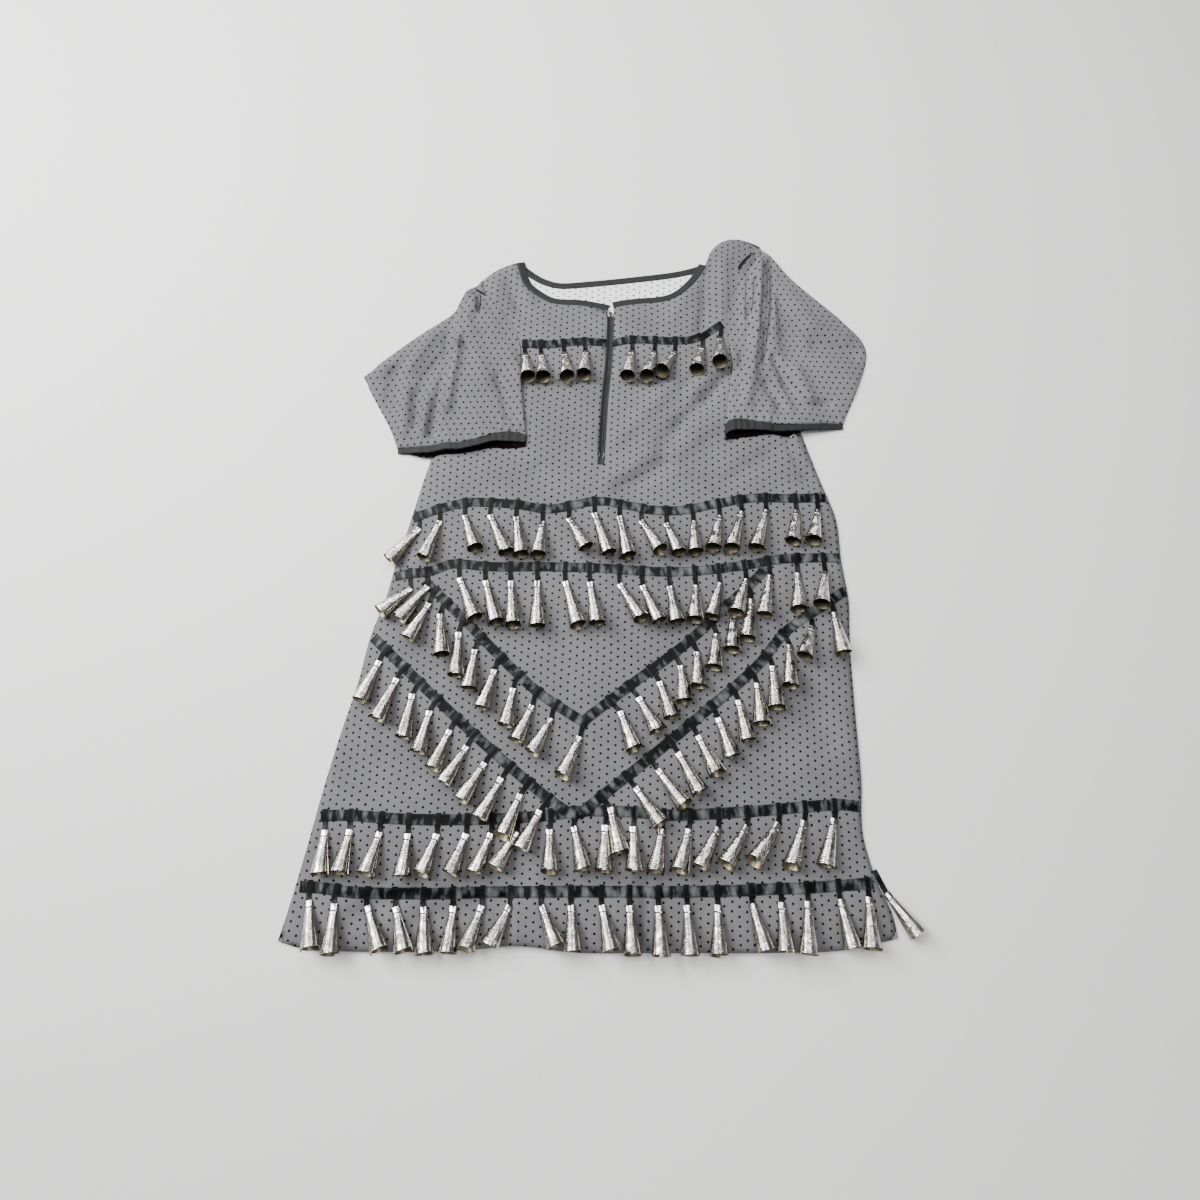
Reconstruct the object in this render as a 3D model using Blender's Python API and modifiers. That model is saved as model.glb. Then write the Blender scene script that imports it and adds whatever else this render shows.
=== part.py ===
"""A jingle dress lying flat on its back: printed cotton body and sleeves, bound
neck and cuffs, a front zip, eight rows of satin ribbon and the rolled tin cones
that hang from them.

Sizes are millimetres in the dress's own lay: +X to the right, +Y from hem to neck,
+Z up from the surface that it lies on.  LAY_CENTRE is the middle of its outline on
the surface, and `to_metres` moves that point to the origin.
"""
import math

import bpy
from mathutils import Vector
from mathutils.bvhtree import BVHTree

# ---------------------------------------------------------------- driving sizes
LAY_CENTRE = (10.0, 74.4)

CLOTH = 1.2            # thickness of every cloth wall
SEAM = 0.3             # space kept between pieces that touch
HEM_TO_NECK_ROWS = 34  # faces along the front, hem to neck
ZIP_END_ROW = 24       # row of the front at which the zip slit ends
LEFT_COLUMNS = (3, 8)  # faces along the left shoulder, then the left half of the neck
RIGHT_COLUMNS = (4, 8)
BACK_NECK_FACES = 12

FRONT_EDGE = 2 * CLOTH + SEAM   # top of the front where it lies on the back
FRONT_PUFF = 1.6                # how much the middle of the front stands above that

SLIT_HALF = 3.6        # half the opening that the zip fills
TAPE_WIDTH = 2.3
CHAIN_HALF = 0.6
ZIP_FOOT_GAP = 30.0    # the slit's closed corner, too narrow for the tapes
ZIP_HEAD_GAP = 14.0    # left for the slider above the chain
SLIDER_SIZE = (5.0, 8.0, 2.6)

RIBBON_WIDTH = 12.7
RIBBON_THICK = 0.6
RIBBON_STEP = 19.0
END_TRIM = 1.0
HEADER_WIDTH = 1.8     # the ribbon's lower edge, into which the hangers are sewn
STRAP_WIDTH = 6.4      # hanger ribbon
NEAR_EDGE_PIECES = 24

CONE_MOUTH_RADIUS = 9.4
CONE_NECK_HALF = (4.0, 1.7)   # half the width and height of the crimped top
CONE_WALL = 1.0
CONE_SIDES = 6
CONE_CLEARANCE = 0.5   # under a cone that lies on the cloth
CONE_REST_HALF = 5.0   # half the width of the band on which it lies

BINDING_WIDTH = 10.5
BINDING_THICK = 1.8
CUFF_BINDING = 7.0
CUFF_LIP = 5.0         # how far the lower side of a cuff reaches past the upper
CUFF_SLANT = 0.3       # how much of the sleeve's own slant its cuff keeps

# ------------------------------------------------------------------- outlines
# x, y along the side edge of front and back, hem to outer shoulder; the stretch
# from the underarm up lies beneath the sleeve
LEFT_SIDE = ((-366, -404), (-356, -361), (-341, -285), (-333, -240), (-318, -170), (-302, -105),
             (-293, -50), (-277, 0), (-270, 40), (-253, 110), (-240, 169), (-231, 199),
             (-226, 240), (-205, 290), (-184, 340), (-174, 400), (-174, 450), (-178, 490))
RIGHT_SIDE = ((339, -401), (335, -374), (320, -342), (316, -320), (309, -285), (315, -230),
              (316, -130), (318, -54), (322, 0), (317, 50), (316, 110), (300, 165),
              (286, 215), (276, 250), (252, 300), (234, 350), (228, 420), (236, 500), (242, 555))
HEM_LEFT = ((-366, -404), (-335, -412), (-230, -415), (-136, -412), (-91, -406), (-55, -413), (-13, -416))
HEM_RIGHT = ((-13, -416), (80, -416), (249, -415), (300, -409), (339, -401))
SHOULDER_LEFT = ((-178, 490), (-166, 501), (-142, 516), (-123, 525))
SHOULDER_RIGHT = ((242, 555), (230, 562), (200, 565), (178, 557), (165, 541), (158, 519))
NECK_LEFT = ((-123, 525), (-118, 500), (-108, 480), (-88, 463), (-66, 452), (-32, 450), (0, 444), (11, 441))
NECK_RIGHT = ((158, 519), (148, 500), (132, 480), (112, 463), (87, 455), (51, 452), (29, 448), (20, 446))
NECK_BACK = ((-122, 516), (-105, 501), (-89, 490), (-60, 481), (-15, 484), (30, 489), (90, 497),
             (127, 504), (157, 514))
ZIP_LINE = ((-13, -416), (-8, -120), (-1, 150), (2, 205), (7, 291), (13, 356), (15, 406), (16, 444))
# the centre front leans so little that one curve from hem to neck serves the crease and the zip

# soft folds of the front: a ridge (or, below zero, a trough) from one point to another
#         x0    y0    x1    y1  width  height
FOLDS = ((182,  318,  128,  262,  26,   4.2),
         (150,  290,   60,  238,  30,   2.4),
         (176,  250,  236,  244,  30,   2.6),
         (-120, 250,  -60,  262,  34,   1.4),
         (-250, 150, -120,  182,  40,   1.2),
         (-91, -420,  -82, -372,  26,   4.2),
         (-300, -425, -285, -330, 24,   1.6),
         (170, -425,  160, -320,  30,   1.4),
         (285, -120,  300,  20,   22,   1.6),
         (-262, 30,  -290, -90,   20,   1.8),
         (196, 560,   190, 470,   26,   4.0),
         (-150, 515, -150, 440,   22,   2.6))

# --------------------------------------------------------------------- sleeves
# one row for each station from the armhole to the cuff: the tube's outer end, its
# inner fold, the sag of the line between them, where along it (0 outer, 1 inner)
# the pleat steps up, and the height of the cloth outside and inside that step
#              x_out y_out x_in y_in  sag  pleat low  high
LEFT_SLEEVE = ((-182, 486, -163, 462,  4, 0.30, 1.0, 2.0),
               (-206, 458, -140, 430,  6, 0.25, 1.0, 3.4),
               (-211, 438, -116, 384,  8, 0.20, 1.4, 4.4),
               (-250, 408, -114, 362,  6, 0.33, 1.8, 5.2),
               (-292, 372, -113, 338,  4, 0.46, 2.4, 5.6),
               (-338, 330, -111, 312,  0, 0.52, 2.8, 6.0),
               (-324, 305, -109, 290,  0, 0.48, 3.2, 6.4),
               (-309, 279, -107, 268, -1, 0.43, 3.4, 6.8),
               (-292, 248, -104, 250, -2, 0.40, 3.4, 7.4),
               (-280, 217, -101, 236, -1, 0.36, 3.4, 8.4))
RIGHT_SLEEVE = ((242, 552, 222, 530,  -3, 0.40, 1.0, 2.6),
                (258, 530, 203, 482,  -4, 0.30, 1.6, 4.6),
                (291, 488, 186, 430,  -4, 0.35, 2.0, 5.4),
                (340, 438, 185, 398,  -3, 0.52, 2.8, 5.8),
                (377, 396, 188, 362,   0, 0.63, 3.2, 5.8),
                (386, 366, 188, 332,   2, 0.64, 3.4, 5.6),
                (372, 328, 182, 303,   4, 0.64, 3.6, 5.8),
                (357, 294, 177, 276,   4, 0.62, 3.8, 6.6),
                (340, 255, 172, 252,   5, 0.62, 4.0, 8.0))
SLEEVE_UNDER_POINTS = 8
SLEEVE_OUTER_POINTS = 4
SLEEVE_INNER_POINTS = 7
SLEEVE_EDGE = 2 * CLOTH + 0.8      # thickness at the two folds of the tube
PLEAT_HALF = 0.025                 # half the width of the pleat's step, along the row
SLEEVE_REACH = 28.0                # the underside clears whatever lies this near

# --------------------------------------------------------------------- ribbons
# x, y along each ribbon's middle, on the cloth
CHEST_LEFT = ((-113, 380), (-66, 380), (-40, 384), (7, 384))
CHEST_RIGHT = ((20, 384), (52, 388), (100, 386), (136, 389), (156, 401), (178, 412))
ROW_1 = ((-251, 111), (-236, 117), (-201, 129), (-165, 134), (-107, 130), (-70, 124), (-27, 132), (0, 136),
         (40, 129), (67, 123), (107, 122), (148, 130), (202, 140), (256, 140), (305, 142))
ROW_2 = ((-268, 30), (-248, 33), (-222, 36), (-192, 47), (-144, 43), (-79, 43), (0, 41), (50, 37),
         (100, 36), (144, 39), (196, 46), (240, 54), (316, 56))
V1_LEFT = ((-228, 24), (-174, -28), (-128, -74), (-77, -121), (-14, -162))
V1_RIGHT = ((-21, -157), (34, -115), (107, -61), (161, -12), (204, 28), (217, 43))
V2_LEFT = ((-289, -50), (-214, -119), (-136, -188), (-62, -248), (-24, -271))
V2_RIGHT = ((-27, -268), (0, -247), (61, -200), (132, -143), (195, -90), (236, -44), (283, -12), (319, 12))
ROW_3 = ((-332, -268), (-296, -267), (-240, -271), (-180, -272), (-120, -271), (-71, -268), (-12, -262),
         (47, -264), (95, -267), (190, -262), (238, -258), (286, -255), (311, -258))
ROW_4 = ((-348, -346), (-320, -347), (-280, -352), (-208, -353), (-70, -351), (110, -351), (200, -348),
         (255, -346), (317, -342))

# --------------------------------------------------------------------- jingles
# for each hanger along a ribbon: the x of its cone's top, the way the cone points, in
# degrees from straight down to the hem, turned towards +X, and the cone's length
#                  x  swing length
CHEST_LEFT_HUNG = ((-108, 8, 45), (-84, 6, 45), (-52, 6, 47), (-20, -3, 45))
CHEST_RIGHT_HUNG = ((47, -9, 49), (80, -14, 49), (109, -28, 44), (146, -14, 46), (173, -6, 49))
ROW_1_HUNG = ((-240, -36, 57), (-213, -15, 56), (-179, 20, 52), (-144, 24, 60), (-109, 9, 56), (-74, -4, 50),
              (-41, 27, 50), (-6, 17, 62), (29, 10, 60), (58, 27, 50), (90, 17, 46), (124, 0, 46),
              (159, -14, 50), (189, -18, 58), (223, -19, 60), (263, -13, 48), (292, -16, 48))
ROW_2_HUNG = ((-244, -46, 48), (-223, -34, 54), (-181, 24, 60), (-147, 17, 60), (-115, 6, 61), (-80, 2, 62),
              (-44, 16, 62), (-12, 9, 57), (27, 28, 55), (56, 21, 53), (91, 7, 50), (124, -6, 48),
              (155, -17, 49), (189, -21, 50), (220, -14, 56), (258, -6, 51), (293, -17, 50))
V1_LEFT_HUNG = ((-219, -24, 52), (-204, 9, 56), (-179, 2, 56), (-157, -4, 50), (-131, -15, 49),
                (-107, -8, 46), (-83, -22, 46), (-60, -27, 46), (-22, -24, 50))
V1_RIGHT_HUNG = ((25, 20, 48), (48, 28, 46), (75, 16, 46), (102, 2, 45), (123, -3, 44),
                 (148, -10, 45), (170, -8, 44), (195, -11, 54))
V2_LEFT_HUNG = ((-277, -18, 52), (-253, -18, 53), (-232, -4, 53), (-209, -9, 50), (-183, -19, 48),
                (-161, -29, 48), (-138, -30, 49), (-117, -27, 50), (-94, -22, 50), (-70, -27, 46))
V2_RIGHT_HUNG = ((12, 13, 50), (42, 35, 50), (69, 36, 50), (94, 27, 51), (119, 23, 49), (145, 15, 48),
                 (171, 7, 49), (195, 0, 50), (215, -1, 52), (238, -7, 54), (270, -24, 44), (299, 4, 54))
ROW_3_HUNG = ((-324, 4, 47), (-294, -4, 46), (-258, -11, 45), (-225, 0, 45), (-191, -16, 44), (-157, -18, 44),
              (-128, -20, 44), (-98, -30, 44), (-60, 2, 45), (-32, 15, 47), (6, -2, 49), (39, 0, 47),
              (73, -12, 46), (104, -18, 46), (138, -30, 48), (172, -35, 50), (209, -39, 53),
              (240, -24, 54), (276, -20, 54))
ROW_4_HUNG = ((-334, 14, 49), (-303, 5, 50), (-267, 27, 48), (-234, 20, 46), (-202, 8, 47), (-168, -2, 46),
              (-135, -18, 45), (-102, -28, 44), (-67, 24, 44), (-33, 4, 45), (2, 14, 46), (34, 3, 49),
              (67, 1, 50), (100, 1, 50), (135, -3, 50), (174, 14, 48), (208, -1, 50), (238, -9, 52),
              (276, 9, 50), (309, -7, 52))
# the hangers of a row: their length, and the way that the first and the last of them lean
#                      length first last
HANGERS = {
    "chest_left":  (10.0,   6,   10),
    "chest_right": (13.0,  -2,  -10),
    "row_1":       (12.0,   0,    0),
    "row_2":       (14.0,   6,    0),
    "v1_left":     (12.0, -12,  -12),
    "v1_right":    (12.0,  45,    0),
    "v2_left":     (10.0, -20,  -34),
    "v2_right":    (10.0,  40,    4),
    "row_3":       (10.0,   4,  -14),
    "row_4":       (8.0,    6,    0),
}
SIDE_SEAM = ((320.5, -341), (315.9, -317))   # the stretch of the right side seam that holds one
SIDE_STRAP = 27.0
SIDE_LEAN = 24
SIDE_SWING = 34
SIDE_LENGTH = 50

# ------------------------------------------------------------------- materials
#             colour (linear)        rough metal
FINISHES = {
    "cotton": ((0.33, 0.335, 0.35), 0.85, 0.0),
    "binding": ((0.022, 0.028, 0.032), 0.8, 0.0),
    "satin": ((0.012, 0.015, 0.018), 0.35, 0.0),
    "tin": ((0.72, 0.71, 0.68), 0.28, 1.0),
    "zip": ((0.015, 0.017, 0.02), 0.6, 0.0),
}


def finish(name):
    """The named material, made once."""
    material = bpy.data.materials.get(name)
    if material is None:
        colour, roughness, metallic = FINISHES[name]
        material = bpy.data.materials.new(name)
        material.use_nodes = True
        shader = material.node_tree.nodes["Principled BSDF"]
        shader.inputs["Base Color"].default_value = (*colour, 1.0)
        shader.inputs["Roughness"].default_value = roughness
        shader.inputs["Metallic"].default_value = metallic
    return material


# --------------------------------------------------------------- small geometry
def to_metres(point):
    x, y, z = point
    return ((x - LAY_CENTRE[0]) / 1000.0, (y - LAY_CENTRE[1]) / 1000.0, z / 1000.0)


def blend(a, b, t):
    return a + (b - a) * t


def smooth_step(t):
    t = min(max(t, 0.0), 1.0)
    return t * t * (3.0 - 2.0 * t)


class Route:
    """A smooth curve through a few points of the lay, measured along its length."""
    SUBSTEPS = 10

    def __init__(self, points):
        knots = [points[0], *points, points[-1]]
        self.points = [tuple(map(float, points[0]))]
        for before, start, end, after in zip(knots, knots[1:], knots[2:], knots[3:]):
            for step in range(1, self.SUBSTEPS + 1):
                self.points.append(self.spline(before, start, end, after, step / self.SUBSTEPS))
        self.reach = [0.0]
        for a, b in zip(self.points, self.points[1:]):
            self.reach.append(self.reach[-1] + math.dist(a, b))
        self.length = self.reach[-1]

    @staticmethod
    def spline(before, start, end, after, t):
        """Catmull-Rom between start and end."""
        return tuple(0.5 * (2 * b + (c - a) * t + (2 * a - 5 * b + 4 * c - d) * t ** 2
                            + (3 * b - a - 3 * c + d) * t ** 3)
                     for a, b, c, d in zip(before, start, end, after))

    def at(self, distance):
        """The point at a distance along the curve, and the curve's direction there."""
        distance = min(max(distance, 0.0), self.length)
        index = 1
        while index < len(self.reach) - 1 and self.reach[index] < distance:
            index += 1
        a, b = self.points[index - 1], self.points[index]
        span = self.reach[index] - self.reach[index - 1]
        t = (distance - self.reach[index - 1]) / span
        point = (blend(a[0], b[0], t), blend(a[1], b[1], t))
        return point, ((b[0] - a[0]) / span, (b[1] - a[1]) / span)

    def evenly(self, pieces):
        return [self.at(self.length * step / pieces)[0] for step in range(pieces + 1)]

    def distance_at_x(self, x):
        """How far along the curve its x first passes the given one."""
        for index in range(1, len(self.points)):
            a, b = self.points[index - 1][0], self.points[index][0]
            if a <= x <= b:
                return blend(self.reach[index - 1], self.reach[index], (x - a) / (b - a))
        return self.length if x > self.points[-1][0] else 0.0


def coons(bottom, top, left, right, across, up):
    """A point of the patch between four edges, each a list of points."""
    columns, rows = len(bottom) - 1, len(left) - 1
    u, v = across / columns, up / rows
    point = []
    for axis in (0, 1):
        ruled = (blend(bottom[across][axis], top[across][axis], v)
                 + blend(left[up][axis], right[up][axis], u))
        corners = blend(blend(bottom[0][axis], bottom[-1][axis], u),
                        blend(top[0][axis], top[-1][axis], u), v)
        point.append(ruled - corners)
    return tuple(point)


# --------------------------------------------------------------- making objects
def new_object(name, vertices, faces, material, collection):
    mesh = bpy.data.meshes.new(name)
    mesh.from_pydata([to_metres(v) for v in vertices], [], faces)
    mesh.materials.append(finish(material))
    item = bpy.data.objects.new(name, mesh)
    collection.objects.link(item)
    return item


def thicken(item, thickness, offset):
    """Give an open surface its wall; offset -1 grows it below the surface, 1 above."""
    wall = item.modifiers.new("Wall", "SOLIDIFY")
    wall.thickness = thickness / 1000.0
    wall.offset = offset


def block(name, middle, size, material, collection):
    bpy.ops.mesh.primitive_cube_add(size=1.0, location=to_metres(middle))
    item = bpy.context.object
    item.name = name
    item.scale = [side / 1000.0 for side in size]
    item.data.materials.append(finish(material))
    for holder in item.users_collection:
        holder.objects.unlink(item)
    collection.objects.link(item)


def ring_faces(first, second, count):
    """Quads between two rings of `count` vertices that start at these indices."""
    return [(first + i, first + (i + 1) % count, second + (i + 1) % count, second + i)
            for i in range(count)]


def flipped(face):
    """The same face seen from the other side, cut along the same diagonal."""
    return (face[0], *face[:0:-1])


def hollow_tube(name, outer_rings, inner_rings, material, collection):
    """A tube with a wall and two open ends, from matching rings outside and inside."""
    count = len(outer_rings[0])
    vertices = [point for ring in outer_rings + inner_rings for point in ring]
    inner_start = len(outer_rings) * count
    faces = []
    for index in range(len(outer_rings) - 1):
        lower, upper = index * count, (index + 1) * count
        faces += ring_faces(lower, upper, count)
        faces += [flipped(face) for face in ring_faces(inner_start + lower, inner_start + upper, count)]
    last = (len(outer_rings) - 1) * count
    faces += [flipped(face) for face in ring_faces(0, inner_start, count)]
    faces += ring_faces(last, inner_start + last, count)
    return new_object(name, vertices, faces, material, collection)


# ------------------------------------------------------------ what things lie on
class Surface:
    """The top faces of pieces already made, asked for their height at a place."""
    CEILING = 200.0

    def __init__(self):
        self.trees = []

    def add(self, vertices, faces):
        self.trees.append(BVHTree.FromPolygons([Vector(v) for v in vertices], faces))

    def height(self, x, y):
        best = 0.0
        for tree in self.trees:
            hit, _, _, _ = tree.ray_cast(Vector((x, y, self.CEILING)), Vector((0, 0, -1)))
            if hit is not None:
                best = max(best, hit.z)
        return best

    def highest_near(self, x, y, reach, spokes=8):
        """The greatest height at a place and on two circles round it."""
        best = self.height(x, y)
        for radius in (0.5 * reach, reach):
            for spoke in range(spokes):
                angle = math.tau * spoke / spokes
                best = max(best, self.height(x + radius * math.cos(angle), y + radius * math.sin(angle)))
        return best

    def resting_line(self, root, neck, mouth, steps=12):
        """Heights at neck and mouth of a straight line that clears what lies beneath a cone."""
        neck_floor = self.highest_along(root, (blend(neck[0], mouth[0], 0.35), blend(neck[1], mouth[1], 0.35)),
                                        CONE_REST_HALF)
        mouth_floor = self.height(*mouth)
        for step in range(steps // 3, steps + 1):
            t = step / steps
            place = (blend(neck[0], mouth[0], t), blend(neck[1], mouth[1], t))
            under = self.highest_near(*place, blend(2.0, CONE_REST_HALF, t))
            mouth_floor = max(mouth_floor, (under - neck_floor * (1.0 - t)) / t)
        return neck_floor + CONE_CLEARANCE, mouth_floor + CONE_CLEARANCE

    def highest_along(self, start, end, half_width, steps=6):
        """The greatest height on a band from start to end."""
        length = math.dist(start, end)
        side = (-(end[1] - start[1]) / length, (end[0] - start[0]) / length)
        best = 0.0
        for step in range(steps + 1):
            t = step / steps
            for shift in (-half_width, 0.0, half_width):
                best = max(best, self.height(blend(start[0], end[0], t) + side[0] * shift,
                                             blend(start[1], end[1], t) + side[1] * shift))
        return best


# ------------------------------------------------------------------- the cloth
def fold_height(x, y):
    """What the soft folds add to the front at a place."""
    total = 0.0
    for x0, y0, x1, y1, width, height in FOLDS:
        length = math.hypot(x1 - x0, y1 - y0)
        t = ((x - x0) * (x1 - x0) + (y - y0) * (y1 - y0)) / length ** 2
        nearest = min(max(t, 0.0), 1.0)
        away = math.hypot(x - blend(x0, x1, nearest), y - blend(y0, y1, nearest))
        total += height * math.exp(-(away / width) ** 2)
    return total


def front_height(x, y, across):
    """Top of the front; across runs from 0 at one side seam to 1 at the other."""
    crown = 1.0 - (2.0 * across - 1.0) ** 4
    return FRONT_EDGE + FRONT_PUFF * crown + fold_height(x, y) * smooth_step(8.0 * crown)


def half_front_grid(side, hem, shoulder, neck, columns, is_left):
    """Rows of points from hem to neck, each from side seam to centre front."""
    shoulder_faces, neck_faces = columns
    bottom = Route(hem if is_left else hem[::-1]).evenly(sum(columns))
    top = Route(shoulder).evenly(shoulder_faces) + Route(neck).evenly(neck_faces)[1:]
    outer = Route(side).evenly(HEM_TO_NECK_ROWS)
    centre = Route(ZIP_LINE).evenly(HEM_TO_NECK_ROWS)
    centre[-1] = top[-1]
    grid = []
    for up in range(HEM_TO_NECK_ROWS + 1):
        row = [coons(bottom, top, outer, centre, across, up) for across in range(sum(columns) + 1)]
        if ZIP_END_ROW < up < HEM_TO_NECK_ROWS:
            x, y = row[-1]
            row[-1] = (x + (-SLIT_HALF if is_left else SLIT_HALF), y)
        grid.append(row)
    return grid


def make_front(collection):
    """Two halves on one grid, sewn down the centre below the zip."""
    left = half_front_grid(LEFT_SIDE, HEM_LEFT, SHOULDER_LEFT, NECK_LEFT, LEFT_COLUMNS, True)
    right = half_front_grid(RIGHT_SIDE, HEM_RIGHT, SHOULDER_RIGHT, NECK_RIGHT, RIGHT_COLUMNS, False)
    vertices, faces = [], []
    numbers = {}
    for half, grid in (("left", left), ("right", right)):
        centre = len(grid[0]) - 1
        for up, row in enumerate(grid):
            for across, (x, y) in enumerate(row):
                if half == "right" and across == centre and up <= ZIP_END_ROW:
                    numbers[half, up, across] = numbers["left", up, len(left[0]) - 1]
                    continue
                share = 0.5 * across / centre
                numbers[half, up, across] = len(vertices)
                vertices.append((x, y, front_height(x, y, share)))
        for up in range(len(grid) - 1):
            for across in range(centre):
                face = (numbers[half, up, across], numbers[half, up, across + 1],
                        numbers[half, up + 1, across + 1], numbers[half, up + 1, across])
                faces.append(face if half == "left" else face[::-1])
    item = new_object("front", vertices, faces, "cotton", collection)
    thicken(item, CLOTH, -1.0)
    return vertices, faces


def back_outline():
    """Round the back panel: up the left side, along shoulders and neck, down the right."""
    left_shoulder = Route(SHOULDER_LEFT).evenly(3)
    right_shoulder = Route(SHOULDER_RIGHT).evenly(5)[::-1]
    return (Route(LEFT_SIDE).evenly(26)[:-1] + left_shoulder[:-1] + Route(NECK_BACK).evenly(BACK_NECK_FACES)
            + right_shoulder[1:] + Route(RIGHT_SIDE).evenly(30)[::-1][1:]
            + Route(HEM_RIGHT).evenly(6)[::-1][1:] + Route(HEM_LEFT).evenly(8)[::-1][1:-1])


def make_back(collection):
    """A flat outline with its underside on the surface."""
    outline = back_outline()
    curve = bpy.data.curves.new("back", "CURVE")
    curve.dimensions = "2D"
    curve.fill_mode = "BOTH"
    curve.extrude = CLOTH / 2000.0
    spline = curve.splines.new("POLY")
    spline.points.add(len(outline) - 1)
    for point, (x, y) in zip(spline.points, outline):
        point.co = (*to_metres((x, y, 0.0)), 1.0)
    spline.use_cyclic_u = True
    curve.materials.append(finish("cotton"))
    item = bpy.data.objects.new("back", curve)
    item.location.z = CLOTH / 2000.0
    collection.objects.link(item)


# ------------------------------------------------------------------ the sleeves
def sleeve_point(station, along):
    """A place on a station's line: 0 is the outer end, 1 the inner fold."""
    x_out, y_out, x_in, y_in, sag = station[:5]
    return (blend(x_out, x_in, along),
            blend(y_out, y_in, along) - sag * 4.0 * along * (1.0 - along))


def sleeve_rise(station, along):
    """How far the upper layer stands above the tube's edge thickness."""
    pleat, low, high = station[5:]
    if along < pleat:
        return low * smooth_step(along / (0.45 * pleat))
    inward = (along - pleat) / (1.0 - pleat)
    return high * (1.0 - inward ** 5)


def sleeve_ring(station, surface, inset, lip=0.0):
    """One section of the flattened tube: along its underside, then back over its top."""
    x_out, y_out, x_in, y_in = station[:4]
    width = math.hypot(x_in - x_out, y_in - y_out)
    end_inset = inset / width
    pleat = station[5]
    under = [step / (SLEEVE_UNDER_POINTS - 1) for step in range(SLEEVE_UNDER_POINTS)]
    outer_end, inner_start = pleat - PLEAT_HALF, pleat + PLEAT_HALF
    over = [blend(1.0, inner_start, step / (SLEEVE_INNER_POINTS - 1)) for step in range(SLEEVE_INNER_POINTS)]
    over += [blend(outer_end, 0.0, step / (SLEEVE_OUTER_POINTS - 1)) for step in range(SLEEVE_OUTER_POINTS)]

    ring = []
    for index, along in enumerate(under + over):
        top = surface.highest_near(*sleeve_point(station, along), SLEEVE_REACH)
        base = top + 2.0 * SEAM if top > 0.0 else 0.0
        x, y = sleeve_point(station, min(max(along, end_inset), 1.0 - end_inset))
        if index < SLEEVE_UNDER_POINTS:
            ring.append((x, y - lip * smooth_step(3.0 * along), base + inset))
        else:
            ring.append((x, y, base + SLEEVE_EDGE + sleeve_rise(station, along) - inset))
    return ring


def extended_station(stations, distance):
    """The last station carried on past the cuff by a distance."""
    before, last = stations[-2], stations[-1]
    moved = list(last)
    for x, y in ((0, 1), (2, 3)):
        dx, dy = last[x] - before[x], last[y] - before[y]
        length = math.hypot(dx, dy)
        moved[x] += distance * dx / length * CUFF_SLANT
        moved[y] += distance * dy / length
    return tuple(moved)


def make_sleeve(side, stations, surface, collection, turned):
    """The sleeve and, a seam's width beyond its edge, the binding of its cuff."""
    def tube(name, rows, wall, material, lip=0.0):
        lips = [0.0] * (len(rows) - 1) + [lip]
        outer = [sleeve_ring(row, surface, 0.0, end) for row, end in zip(rows, lips)]
        inner = [sleeve_ring(row, surface, wall, end) for row, end in zip(rows, lips)]
        if turned:
            outer = [ring[::-1] for ring in outer]
            inner = [ring[::-1] for ring in inner]
        hollow_tube(name, outer, inner, material, collection)

    tube("sleeve_" + side, stations, CLOTH, "cotton")
    cuff = [extended_station(stations, SEAM), extended_station(stations, SEAM + CUFF_BINDING)]
    tube("cuff_" + side, cuff, CLOTH + SEAM, "binding", CUFF_LIP)


# --------------------------------------------------------- bindings and the zip
def strip(name, upper, lower, thickness, material, collection):
    """A flat band between two lines of points, thickened upwards."""
    vertices = list(lower) + list(upper)
    count = len(lower)
    faces = [(i, i + 1, count + i + 1, count + i) for i in range(count - 1)]
    item = new_object(name, vertices, faces, material, collection)
    thicken(item, thickness, 1.0)
    return vertices, faces


def offset_line(route, pieces, shift):
    """Points along a route, moved to its left by a shift."""
    line = []
    for step in range(pieces + 1):
        (x, y), (dx, dy) = route.at(route.length * step / pieces)
        line.append((x - dy * shift, y + dx * shift))
    return line


def make_neck_bindings(collection):
    """Folded strips just beyond the cloth's edge, the back one on the surface."""
    front_base = FRONT_EDGE - CLOTH + SEAM
    left, right, back = Route(NECK_LEFT), Route(NECK_RIGHT[::-1]), Route(NECK_BACK)
    for name, route, pieces, base, thick in (
            ("neck_front_left", left, LEFT_COLUMNS[1], front_base, BINDING_THICK),
            ("neck_front_right", right, RIGHT_COLUMNS[1], front_base, BINDING_THICK),
            ("neck_back", back, BACK_NECK_FACES, 0.0, CLOTH + SEAM)):
        lower = [(x, y, base) for x, y in offset_line(route, pieces, SEAM)]
        upper = [(x, y, base) for x, y in offset_line(route, pieces, SEAM + BINDING_WIDTH)]
        strip(name, upper, lower, thick, "binding", collection)


def make_zip(collection):
    """Two tapes and the closed chain in the front's slit, with the slider at its top."""
    line = Route(ZIP_LINE)
    bottom = line.length * ZIP_END_ROW / HEM_TO_NECK_ROWS + ZIP_FOOT_GAP
    top = line.length - ZIP_HEAD_GAP
    pieces = 12

    def zip_band(name, near, far, base, thick, material):
        rows = []
        for step in range(pieces + 1):
            (x, y), _ = line.at(blend(bottom, top, step / pieces))
            rows.append((x, y))
        lower = [(x + near, y, base) for x, y in rows]
        upper = [(x + far, y, base) for x, y in rows]
        strip(name, lower, upper, thick, material, collection)

    base = CLOTH + SEAM
    inner = CHAIN_HALF + SEAM
    zip_band("zip_tape_left", -inner - TAPE_WIDTH, -inner, base, CLOTH, "zip")
    zip_band("zip_tape_right", inner, inner + TAPE_WIDTH, base, CLOTH, "zip")
    zip_band("zip_chain", -CHAIN_HALF, CHAIN_HALF, base, 1.5 * CLOTH, "zip")
    (x, y), _ = line.at(top + SEAM + 0.5 * SLIDER_SIZE[1])
    block("zip_slider", (x, y, base + 0.5 * SLIDER_SIZE[2]), SLIDER_SIZE, "zip", collection)


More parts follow.
